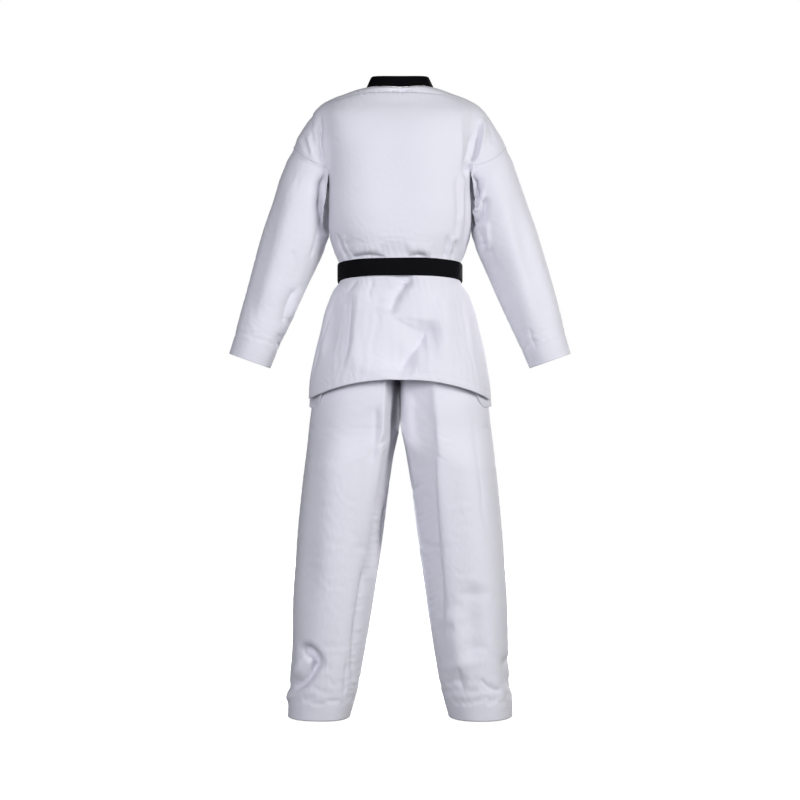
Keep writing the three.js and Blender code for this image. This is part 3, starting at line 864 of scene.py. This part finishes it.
def woven(name, colour, period, bump, sheen, roughness, variation, gloss=0.25):
    """Cloth with a weave of this period, in metres, and a slight unevenness in colour and surface."""
    material = bpy.data.materials.new(name)
    material.use_nodes = True
    tree = material.node_tree
    shader = tree.nodes["Principled BSDF"]
    shader.inputs["Roughness"].default_value = roughness
    shader.inputs["Specular IOR Level"].default_value = gloss
    shader.inputs["Sheen Weight"].default_value = sheen
    shader.inputs["Sheen Roughness"].default_value = 0.5
    place = {"Vector": tree.nodes.new("ShaderNodeTexCoord").outputs["Object"]}
    waves = []
    for direction in ("Z", "DIAGONAL"):
        values = {"Scale": 0.314 / period, "Distortion": 0.6, "Detail": 1.0}
        wave = add_node(tree, "ShaderNodeTexWave", values, place)
        wave.wave_type = "BANDS"
        wave.bands_direction = direction
        waves.append(wave.outputs["Fac"])
    weave = add_node(tree, "ShaderNodeMath", {}, {0: waves[0], 1: waves[1]})
    weave.operation = "ADD"
    first = add_node(tree, "ShaderNodeBump", {"Strength": bump, "Distance": 0.0003},
                     {"Height": weave.outputs["Value"]})
    crumple = add_node(tree, "ShaderNodeTexNoise", {"Scale": 26, "Detail": 5}, place)
    second = add_node(tree, "ShaderNodeBump", {"Strength": 0.35, "Distance": 0.0014},
                      {"Height": crumple.outputs["Fac"], "Normal": first.outputs["Normal"]})
    tree.links.new(second.outputs["Normal"], shader.inputs["Normal"])
    tint = add_node(tree, "ShaderNodeTexNoise", {"Scale": 6, "Detail": 4}, place)
    ends = {"From Min": 0.3, "From Max": 0.7, "To Min": 1 - variation, "To Max": 1.0}
    ramp = add_node(tree, "ShaderNodeMapRange", ends, {"Value": tint.outputs["Fac"]})
    shade = tree.nodes.new("ShaderNodeVectorMath")
    shade.operation = "SCALE"
    shade.inputs[0].default_value = colour
    tree.links.new(ramp.outputs["Result"], shade.inputs["Scale"])
    tree.links.new(shade.outputs["Vector"], shader.inputs["Base Color"])
    return material


white = woven("white_cotton", (0.72, 0.72, 0.785), 0.0016, 0.35, 0.15, 0.85, 0.03)
thread = woven("white_thread", (0.47, 0.47, 0.54), 0.0008, 0.2, 0.1, 0.7, 0.02)
black = woven("black_belt_cotton", (0.0022, 0.0022, 0.0032), 0.0012, 0.5, 0.0, 0.75, 0.25, gloss=0.05)


def dress(obj, *materials):
    obj.data.materials.clear()
    for material in materials:
        obj.data.materials.append(material)


# ------------------------------------------------------------------ where the cloth folds

# In mm, seen from behind: height, width to the left and to the right, and the points of the line.

BODY_FOLDS = [
    # The back stands a little proud of the arms.
    (3, 9, 4, (141, 392), (146, 260), (148, 136), (141, 60)),
    # Pulls across the left shoulder panel.
    (4, 6, 6, (-214, 322), (-205, 290), (-196, 266)),
    (3, 6, 6, (-232, 318), (-224, 290), (-214, 272)),
    # The pleats beside the right edge of the back.
    (7, 6, 9, (194, 365), (191, 322), (181, 278), (164, 240)),
    (-5, 5, 9, (130, 230), (134, 150), (129, 75)),
    (4, 7, 6, (137, 140), (137, 100), (131, 55)),
    # The cloth blouses over the belt.
    (4, 8, 16, (-118, 48), (-78, 56), (-40, 54)),
    (4, 8, 16, (12, 54), (42, 58), (78, 50)),
    (4, 6, 7, (-134, 92), (-124, 60), (-108, 32)),
    (4, 5, 6, (122, 92), (116, 60), (110, 30)),
    # Broad planes of the back.
    (3, 40, 60, (-90, 340), (-70, 220), (-60, 110)),
    (3, 50, 40, (40, 340), (60, 200), (70, 100)),
]
BODY_CREASES = [
    # Between the back and the left arm.
    (-13, 10, 4, (-183, 388), (-184, 340), (-183, 300), (-176, 239), (-168, 150), (-164, 100)),
    (-5, 6, 4, (-208, 338), (-199, 305), (-188, 268)),
    (-4, 5, 4, (-224, 322), (-216, 292), (-208, 266)),
    (-3, 5, 4, (-200, 372), (-206, 350), (-204, 330)),
    # The deep pleats at the right.
    (-12, 6, 7, (183, 364), (180, 322), (171, 278), (156, 246), (150, 212)),
    (-8, 5, 6, (168, 330), (160, 290), (152, 250), (148, 215)),
    (-3, 4, 4, (208, 340), (212, 318), (210, 296)),
    (-5, 4, 5, (152, 210), (154, 130), (147, 66)),
    # The yoke's fold under the collar.
    (-3, 4, 4, (-30, 427), (-10, 422), (14, 427), (34, 429)),
    # Over the belt.
    (-8, 24, 3, (-118, 34), (-80, 42), (-42, 40), (-30, 34)),
    (-8, 22, 3, (14, 36), (42, 43), (72, 34)),
    (-5, 4, 5, (-148, 98), (-138, 62), (-120, 30)),
    (-4, 4, 5, (-130, 84), (-118, 55), (-102, 32)),
    (-5, 4, 5, (112, 92), (107, 60), (102, 30)),
    (-4, 4, 4, (135, 84), (125, 55), (116, 28)),
]
FRONT_FOLDS = [
    (-6, 9, 7, (-170, 330), (-160, 250), (-158, 160)),
    (-6, 9, 7, (170, 330), (160, 250), (158, 160)),
    (5, 12, 9, (-140, 250), (-110, 160), (-70, 80)),
    (-5, 10, 8, (-100, 230), (-80, 150), (-45, 70)),
    (5, 9, 14, (130, 220), (90, 150), (40, 80)),
    (-5, 8, 9, (96, 250), (70, 170), (30, 90)),
]
FRONT_CREASES = [
    (-4, 5, 5, (-60, 100), (-50, 70), (-40, 38)),
    (-4, 5, 5, (-20, 90), (-18, 64), (-14, 36)),
    (-4, 5, 5, (60, 100), (50, 70), (44, 38)),
    (-4, 5, 5, (112, 92), (104, 60), (98, 34)),
    (-4, 8, 5, (-150, 200), (-120, 120), (-90, 50)),
    (-4, 5, 8, (150, 190), (130, 120), (110, 50)),
]
BACK_SKIRT_FOLDS = [
    (4, 22, 20, (2, 0), (-22, -50), (-40, -110)),
    (5, 20, 26, (98, -20), (104, -110), (100, -215)),
    (6, 26, 46, (-106, -14), (-112, -106), (-118, -160), (-128, -225)),
    (-4, 14, 14, (-150, -50), (-156, -110), (-164, -190)),
    (4, 6, 8, (-160, -60), (-172, -120), (-182, -200)),
    (3, 8, 8, (150, -60), (160, -110), (168, -180)),
]
BACK_SKIRT_CREASES = [
    # The two diagonal folds under the middle of the belt.
    (-20, 44, 9, (28, 6), (14, -22), (-3, -48), (-14, -72), (-20, -100)),
    (-29, 44, 26, (72, -100), (68, -118), (60, -140), (38, -168), (12, -203), (-6, -250)),
    # The terrace at the left and pulls from the belt.
    (-10, 22, 5, (-112, -30), (-118, -110), (-122, -160), (-134, -225)),
    # The edge of the vent.
    (-5, 4, 3, (-150, -50), (-157, -80), (-172, -118), (-188, -170), (-203, -245)),
    (-4, 6, 6, (-96, -8), (-118, -35), (-142, -74)),
    (-3, 5, 8, (-60, -6), (-70, -30), (-74, -60)),
    (-4, 6, 10, (136, -18), (158, -55), (174, -104)),
    (-4, 8, 5, (176, -90), (184, -140), (188, -180)),
    (-3, 6, 6, (96, -4), (100, -30), (98, -60)),
]
FRONT_SKIRT_FOLDS = [
    (7, 14, 9, (-60, -20), (-74, -110), (-88, -230)),
    (-6, 12, 9, (-100, -30), (-116, -120), (-130, -230)),
    (6, 9, 14, (70, -20), (84, -120), (92, -230)),
    (-6, 9, 12, (108, -30), (124, -120), (140, -230)),
]
LEFT_SLEEVE_FOLDS = [
    # Where the light back of the sleeve turns to its outer side.
    (6, 34, 30, (-240, 250), (-268, 110), (-292, 0), (-318, -110)),
    (-5, 24, 16, (-266, 230), (-302, 90), (-330, -20), (-352, -130)),
    (4, 8, 5, (-226, -28), (-240, -66), (-254, -110)),
]
LEFT_SLEEVE_CREASES = [
    # The dark hollow under the arm.
    (-26, 13, 9, (-172, 236), (-177, 205), (-178, 170), (-172, 130), (-162, 84)),
    (-7, 9, 4, (-236, -30), (-254, -60), (-264, -90), (-268, -124)),
    (-5, 5, 8, (-274, -134), (-280, -156), (-270, -176)),
    (-3, 8, 8, (-252, 60), (-238, 14), (-242, -20)),
    (-4, 4, 5, (-186, 110), (-196, 70), (-208, 30)),
]
RIGHT_SLEEVE_FOLDS = [
    (8, 5, 5, (150, 128), (165, 142), (183, 160), (190, 205)),
    (5, 6, 6, (196, 122), (200, 90), (204, 50)),
    (5, 26, 22, (214, 240), (252, 100), (290, -40), (316, -140)),
    (-4, 16, 18, (262, 180), (290, 60), (326, -60), (352, -150)),
]
RIGHT_SLEEVE_CREASES = [
    (-12, 10, 12, (164, 236), (168, 200), (166, 170), (160, 130)),
    # The curved folds of the underarm.
    (-14, 7, 8, (170, 222), (173, 192), (166, 168)),
    (-12, 5, 8, (158, 106), (176, 118), (190, 138), (198, 182)),
    (-6, 5, 6, (152, 172), (160, 152), (157, 136)),
    (-6, 6, 8, (174, 112), (184, 84), (192, 54)),
    (-4, 6, 7, (206, 74), (214, 30), (224, 0)),
    (-3, 6, 5, (296, -120), (304, -150), (314, -175)),
]
# The cloth of the legs falls back into a deep fold between these lines.
LEFT_INSEAM = [
    (-30, -150), (-30, -250), (-32, -330), (-35, -400), (-44, -480), (-57, -545), (-68, -600), (-84, -700),
]
RIGHT_GAP = [(7, -150), (7, -250), (6, -300), (2, -345), (-4, -380), (-12, -440)]
RIGHT_PLEAT = [
    (82, -150), (82, -262), (82, -380), (84, -500), (92, -600), (104, -720), (112, -820), (116, -980),
]
LEFT_LEG_FOLDS = [
    (5, 30, 6, (-36, -240), (-38, -330), (-42, -400), (-52, -480), (-64, -560), (-76, -640)),
    (4, 40, 40, (-140, -300), (-130, -420), (-134, -560), (-150, -700), (-160, -860)),
    (-5, 34, 26, (-200, -330), (-200, -480), (-208, -640), (-214, -780)),
    # The hooked fold above the left hem.
    (-20, 10, 12, (-240, -858), (-215, -866), (-195, -887), (-206, -914), (-230, -940), (-264, -956)),
    (6, 9, 9, (-240, -884), (-235, -902), (-246, -924)),
    (7, 12, 12, (-268, -952), (-262, -968), (-250, -980)),
]
LEFT_LEG_CREASES = [
    (-8, 5, 9, (-76, -640), (-86, -700), (-96, -760), (-104, -820), (-108, -880), (-110, -960)),
    (-6, 4, 10, (-222, -866), (-204, -872), (-189, -887), (-198, -911)),
    (-3, 5, 5, (-120, -880), (-126, -930), (-128, -980)),
    (-6, 8, 12, (-56, -300), (-58, -380), (-66, -450)),
]
RIGHT_LEG_FOLDS = [
    (4, 8, 30, (88, -262), (86, -380), (88, -500), (96, -600), (106, -720), (114, -860)),
    (5, 8, 12, (20, -262), (18, -340), (28, -420), (38, -500)),
    (-7, 22, 28, (170, -700), (164, -800), (168, -900)),
    (6, 26, 22, (120, -760), (132, -860), (140, -940)),
]
RIGHT_LEG_CREASES = [
    (-6, 14, 4, (80, -280), (78, -380), (80, -500), (87, -610), (97, -730), (104, -830)),
    (-2, 3, 4, (164, -292), (173, -382), (187, -497), (194, -566), (226, -658)),
    (-9, 9, 7, (254, -870), (245, -900), (252, -938), (264, -966)),
    (-4, 9, 9, (130, -900), (140, -940), (152, -968)),
    (-4, 6, 9, (236, -962), (206, -952), (182, -930)),
]
# Seams with gathers along them, on the back.
YOKE_SEAM = [
    (-174, 385), (-150, 400), (-116, 412), (-75, 420), (0, 421), (75, 418), (110, 412), (142, 398),
    (178, 374),
]
OVER_BELT = [(-150, 26), (-100, 32), (0, 36), (100, 32), (146, 26)]
UNDER_BELT = [(-150, -22), (-60, -14), (0, -10), (60, -14), (150, -22)]
BACK_HEM = [(-190, -262), (-150, -243), (-80, -234), (0, -231), (80, -232), (150, -240), (190, -258)]
LEFT_LEG_SEAM = [(-42, -475), (-56, -560), (-70, -640), (-90, -720), (-102, -800), (-110, -880), (-112, -980)]
RIGHT_LEG_SEAM = [(28, -475), (44, -560), (56, -640), (66, -720), (78, -800)]

# ------------------------------------------------------------------ make the cloth

skin_object = closed_loft("skin", body_grid())
skin = tree_of(skin_object)
bpy.data.objects.remove(skin_object)

body, whole_jacket = jacket_body()
back = skirt("back_skirt_cloth", True)
front = skirt("front_skirt_cloth", False)
left_sleeve = sleeve(whole_jacket)
right_sleeve = mirrored(left_sleeve, "right_sleeve_cloth")
left_trousers = trouser_half()
right_trousers = mirrored(left_trousers, "right_trouser_cloth")
sleeves, trousers = (left_sleeve, right_sleeve), (left_trousers, right_trousers)
cloths = (body, back, front, *sleeves, *trousers)


def past_seam(obj):
    """How far a sleeve's points are past the drop-shoulder seam, and how far short of the cuff's end."""
    side = 1 if obj.name.startswith("left") else -1
    rel = get_points(obj) * np.array([side, 1, 1]) - np.array(SHOULDER)
    return np.linalg.norm(rel[:, ::2], axis=1) - SEAM_RADIUS, ARM_LENGTH - rel @ np.array(ARM_AXIS)


def body_calm(obj):
    """Little movement beside the drop-shoulder seams and the neck."""
    p = get_points(obj)
    seam = -np.maximum(seam_level(p, 1), seam_level(p, -1))
    return step(seam, -0.002, 0.022) * step(-neck_level(p), 0.0, 0.004)


def sleeve_calm(obj):
    """Little movement beside the drop-shoulder seam and none at the cuff."""
    past, short = past_seam(obj)
    return step(past, -0.006, 0.02) * step(short - 0.03, 0, 0.01)


def centre_calm(obj):
    """No movement at the seam between the halves of the seat."""
    p = get_points(obj)
    return np.where(p[:, 2] > CROTCH - 0.03, step(np.abs(p[:, 0]), 0.001, 0.016), 1.0)


fold(body, BODY_FOLDS, calm=body_calm(body))
fold(body, FRONT_FOLDS, -1, calm=body_calm(body))
fold(back, BACK_SKIRT_FOLDS)
fold(front, FRONT_SKIRT_FOLDS, -1)
for obj, strokes in zip(sleeves, (LEFT_SLEEVE_FOLDS, RIGHT_SLEEVE_FOLDS)):
    fold(obj, strokes, calm=sleeve_calm(obj))
recess(left_trousers, LEFT_INSEAM, 1, 5.0, 0.110, -0.025)
recess(right_trousers, RIGHT_PLEAT, -1, 0.62, 0.046, 0.010, soft=0.012)
recess(right_trousers, RIGHT_GAP, -1, 5.0, 0.110, -0.025)
for obj, strokes in zip(trousers, (LEFT_LEG_FOLDS, RIGHT_LEG_FOLDS)):
    fold(obj, strokes, calm=centre_calm(obj))


def free_of(obj, *edges):
    """1 in the middle of a piece and 0 at held edges, each given as (distance from it, reach)."""
    free = np.ones(len(obj.data.vertices))
    for gap, reach in edges:
        free *= step(gap, 0, reach)
    return free


def body_rim(obj):
    """Distance from the neck and the drop-shoulder seams."""
    p = get_points(obj)
    return np.minimum.reduce([-neck_level(p), -seam_level(p, 1), -seam_level(p, -1)])


def sleeve_free(obj, reach):
    """0 at the drop-shoulder seam and the cuff, 1 this far from the seam."""
    past, short = past_seam(obj)
    return free_of(obj, (past, reach), (short, 0.05))


def body_held(obj):
    return 1 - 0.72 * free_of(obj, (body_rim(obj) - 0.008, 0.04), (get_points(obj)[:, 2] - 0.030, 0.03))


def skirt_held(obj):
    return 1 - 0.80 * free_of(obj, (-0.03 - get_points(obj)[:, 2], 0.03))


def sleeve_held(obj):
    return 1 - 0.75 * sleeve_free(obj, 0.04)


def trouser_held(obj):
    p = get_points(obj)
    seam = np.where(p[:, 2] > CROTCH - 0.02, np.abs(p[:, 0]), 1.0)
    return 1 - 0.75 * free_of(obj, (seam, 0.02), (-0.02 - p[:, 2], 0.03), (p[:, 2] + 1.018, 0.05))


for obj, seed in ((back, 3.1), (front, 5.7)):
    billow(obj, 0.006, (9, 9, 3), seed, step(-0.02 - get_points(obj)[:, 2], 0, 0.06))
for obj, seed in ((left_sleeve, 11.3), (right_sleeve, 17.9)):
    billow(obj, 0.006, (9, 9, 3), seed, sleeve_free(obj, 0.05))
for obj, seed in ((left_trousers, 23.3), (right_trousers, 29.1)):
    p = get_points(obj)
    billow(obj, 0.010, (8, 8, 1.7), seed, step(-0.03 - p[:, 2], 0, 0.1) * step(np.abs(p[:, 0]), 0.0, 0.05))
above_belt = step(get_points(body)[:, 2], 0.03, 0.08)
billow(body, 0.004, (7, 7, 3), 37.7, above_belt * free_of(body, (body_rim(body), 0.03)))

settle([
    (body, body_held(body), 0.005),
    (back, skirt_held(back), 0.008),
    (front, skirt_held(front), 0.01),
    *((obj, sleeve_held(obj), 0.009) for obj in sleeves),
    *((obj, trouser_held(obj), 0.006) for obj in trousers),
])
for obj in cloths:
    refine(obj)

fold(body, BODY_CREASES, calm=body_calm(body), sharp=True)
fold(body, FRONT_CREASES, -1, calm=body_calm(body), sharp=True)
fold(back, BACK_SKIRT_CREASES, sharp=True)
for obj, creases in zip(sleeves, (LEFT_SLEEVE_CREASES, RIGHT_SLEEVE_CREASES)):
    fold(obj, creases, calm=sleeve_calm(obj), sharp=True)
for obj, creases in zip(trousers, (LEFT_LEG_CREASES, RIGHT_LEG_CREASES)):
    fold(obj, creases, calm=centre_calm(obj), sharp=True)

fold(body, [(-5, 1.5, 15, *YOKE_SEAM)], calm=body_calm(body), sharp=True)
gather(body, YOKE_SEAM, 0.9, 11, 26, 3)
gather(body, OVER_BELT, 1.2, 13, 4, 22)
gather(back, UNDER_BELT, 0.8, 15, 22, 3)
gather(back, BACK_HEM, 0.6, 9, 2, 9)
gather(left_trousers, LEFT_LEG_SEAM, 1.1, 15, 11, 20)
gather(right_trousers, RIGHT_LEG_SEAM, 1.2, 15, 6, 16)


def tuck_under_collar(obj):
    """Presses the cloth beside the neck and the V down under the collar band."""
    points = get_points(obj)
    near = 1 - step(-neck_level(points), 0.008, 0.020)
    place = step(points[:, 2], 0.32, 0.37) * (1 - step(points[:, 1], 0.0, 0.03))
    push(obj, -0.0035 * near * place)


def flatten_seam(obj, side):
    """Sinks the edges of the cloth that meet at the drop-shoulder seam, so that the seam lies flat."""
    past = seam_level(get_points(obj), side)
    near = step(past, -0.012, -0.001) if obj == body else 1 - step(past, -0.002, 0.003)
    push(obj, -0.0014 * near)


tuck_under_collar(body)
for side, obj in zip((1, -1), sleeves):
    flatten_seam(body, side)
    flatten_seam(obj, side)
cloth_tree = tree_of(body)
for obj in cloths:
    thicken(obj)


def arm_ring(along, side):
    """A ring round the sleeve at a distance along the arm."""
    x, y = oval(np.linspace(0, 2 * np.pi, 120), ARM_POWER)
    width, depth = arm_size(along)
    return arm_points(along, width * x, depth * y) * np.array([side, 1, 1])


def shoulder_arc(radius, side, back_side):
    """An arc of the drop-shoulder seam, over the back or the front of the arm."""
    arc = []
    for turn in np.linspace(-1.25, 0.72, 90):
        way = math.cos(turn) * ARM_AXIS + math.sin(turn) * ARM_OUT
        arc.append((side * (SHOULDER.x + radius * way.x), 0.072 * back_side, SHOULDER.z + radius * way.z))
    return arc


def leg_ring(height, side):
    """A ring round the leg, just above its hem."""
    x, y = oval(np.linspace(0, 2 * np.pi, 140), WAIST_POWER)
    return np.stack([side * (0.184 + 0.074 * x), 0.082 * y, np.full(len(x), height)], 1)


def hem_arc(rise, facing):
    """An arc this far above a skirt's hem."""
    angles = np.linspace(0.04, np.pi - 0.04, 120) * facing
    x, y = oval(angles, WAIST_POWER)
    bottom = HEM_HEIGHT - HEM_DROP * np.cos(angles) ** 2 - (FRONT_DROP if facing < 0 else 0)
    return np.stack([0.208 * x, 0.142 * y, bottom + rise], 1)


sewing = {obj.name: Seams(obj) for obj in cloths}
for side, obj in zip((1, -1), sleeves):
    for along in (0.5525, 0.560, 0.5675, 0.575):
        sewing[obj.name].row(arm_ring(along, side))
    for back_side in (1, -1):
        sewing[obj.name].row(shoulder_arc(SEAM_RADIUS + 0.003, side, back_side), 0.03)
        sewing[body.name].row(shoulder_arc(SEAM_RADIUS - 0.003, side, back_side), 0.03)
for side, obj in zip((1, -1), trousers):
    for height in (-1.006, -1.000, -0.994, -0.988):
        sewing[obj.name].row(leg_ring(height, side))
for obj, facing in ((back, 1), (front, -1)):
    for rise in (0.004, 0.019):
        sewing[obj.name].row(hem_arc(rise, facing))
for seams in sewing.values():
    dress(seams.obj, white, thread)
    seams.sew(thread)

# ------------------------------------------------------------------ make the bands

inner_turn = belt_turn("belt_inner_band", 0.0004, 0.0012, 0.0002)
outer_turn = belt_turn("belt_outer_band", 0.0036, 0.0, 0.0006)
collar_band = collar(skin, cloth_tree)
left_tail, right_tail = tail(1), tail(-1)
knot_body, knot_over = knot_core(), knot_wrap()
for obj in (inner_turn, outer_turn, collar_band, left_tail, right_tail, knot_body, knot_over):
    dress(obj, black)


def waistband():
    """The gathered band with elastic in it, of the trousers."""
    angles = np.linspace(0, 2 * np.pi, 420, endpoint=False)
    x, y = oval(angles, WAIST_POWER)
    rows = []
    for t in np.linspace(0, 1, 15):
        ruffle = 0.0010 * np.sin(angles * 70) * (0.5 + 0.5 * np.cos(t * 8 * np.pi))
        ruffle += 0.0006 * np.sin(angles * 23 + 3 * t)
        height = np.full(len(x), -0.030 + 0.042 * t)
        rows.append(np.stack([x * (0.1255 + ruffle), y * (0.0865 + ruffle), height], 1))
    grid = np.array(rows)
    obj = new_object("waistband_cloth", grid.reshape(-1, 3), grid_faces(len(rows), len(angles), True))
    thicken(obj, 0.003)
    return obj


band_cloth = waistband()
dress(band_cloth, white)

# ------------------------------------------------------------------ where each piece goes

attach(body, "jacket")
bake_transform(back)
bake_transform(front)
for side, piece in (("left", left_sleeve), ("right", right_sleeve)):
    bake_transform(piece)
for side, piece in (("left", left_trousers), ("right", right_trousers)):
    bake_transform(piece)
for obj in (inner_turn, outer_turn, collar_band, knot_body, knot_over):
    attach(obj, "jacket")
for side, piece in (("left", left_tail), ("right", right_tail)):
    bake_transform(piece)
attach(band_cloth, "trousers")

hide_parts("back_panel", "front_panel", "yoke", "left_shoulder_panel", "right_shoulder_panel")
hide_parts("back_skirt", "back_hem_band", "left_vent_tab", "right_vent_tab")
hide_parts("front_skirt", "front_hem_band")
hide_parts("belt_inner_turn")
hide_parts("belt_outer_turn")
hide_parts("collar_back", "collar_left_front", "collar_right_front")
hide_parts("belt_left_tail")
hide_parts("belt_right_tail")
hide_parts("belt_knot")
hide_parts("waistband", "waist_elastic")
for side, piece in (("left", left_sleeve), ("right", right_sleeve)):
    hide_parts(*(f"{side}_{n}" for n in ("sleeve", "underarm_gusset", "cuff")))
for side, piece in (("left", left_trousers), ("right", right_trousers)):
    parts = ("seat_back", "seat_front", "leg_back", "leg_front", "leg_hem")
    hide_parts(*(f"{side}_{n}" for n in parts))
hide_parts("crotch_gusset")


# ------------------------------------------------------------------ camera and light

camera = bpy.data.objects.new("camera", bpy.data.cameras.new("camera"))
bpy.context.scene.collection.objects.link(camera)
camera.location = (0, DISTANCE, EYE)
camera.rotation_euler = (math.radians(90), 0, math.radians(180))
camera.data.sensor_width = 36
camera.data.lens = camera.data.sensor_width * DISTANCE / FRAME_WIDTH
bpy.context.scene.camera = camera


def area_light(name, place, target, size, power, colour=(1, 1, 1)):
    light = bpy.data.lights.new(name, "AREA")
    light.shape = "RECTANGLE"
    light.size, light.size_y = size
    light.energy = power
    light.color = colour
    obj = bpy.data.objects.new(name, light)
    obj.location = place
    obj.rotation_euler = (Vector(target) - Vector(place)).to_track_quat("-Z", "Y").to_euler()
    bpy.context.scene.collection.objects.link(obj)


area_light("key", (-2.7, 1.9, 0.5), (0, 0, -0.4), (1.0, 1.4), 72, (1, 0.99, 0.97))
area_light("fill", (0.5, 3.2, 0.6), (0, 0, -0.9), (1.8, 1.2), 66, (0.98, 0.98, 1.03))
area_light("left_fill", (2.5, 2.6, -0.8), (0, 0, -0.8), (1.4, 1.8), 41, (0.95, 0.95, 1.05))
area_light("front_fill", (-1.2, -3.2, 0.6), (0, 0, -0.3), (2.2, 2.2), 120)


def studio_floor():
    """A pale floor under a pale studio, neither of which throws light back at the cloth."""
    size, height = 9, -1.02
    corners = [(-size, -size, height), (size, -size, height), (size, size, height), (-size, size, height)]
    obj = new_object("floor", corners, [(0, 1, 2, 3)])
    obj.visible_diffuse = False
    material = bpy.data.materials.new("pale_floor")
    material.use_nodes = True
    shader = material.node_tree.nodes["Principled BSDF"]
    shader.inputs["Base Color"].default_value = (0.93, 0.93, 0.93, 1)
    shader.inputs["Roughness"].default_value = 0.9
    shader.inputs["Emission Color"].default_value = (1, 1, 1, 1)
    shader.inputs["Emission Strength"].default_value = 1.0
    obj.data.materials.append(material)
    world = bpy.data.worlds.new("studio")
    bpy.context.scene.world = world
    world.use_nodes = True
    world.node_tree.nodes["Background"].inputs[0].default_value = (1, 1, 1, 1)
    world.node_tree.nodes["Background"].inputs[1].default_value = 1.0
    world.cycles_visibility.diffuse = False
    world.cycles_visibility.glossy = False
    bpy.context.scene.view_settings.view_transform = "Standard"
    return obj


studio_floor()
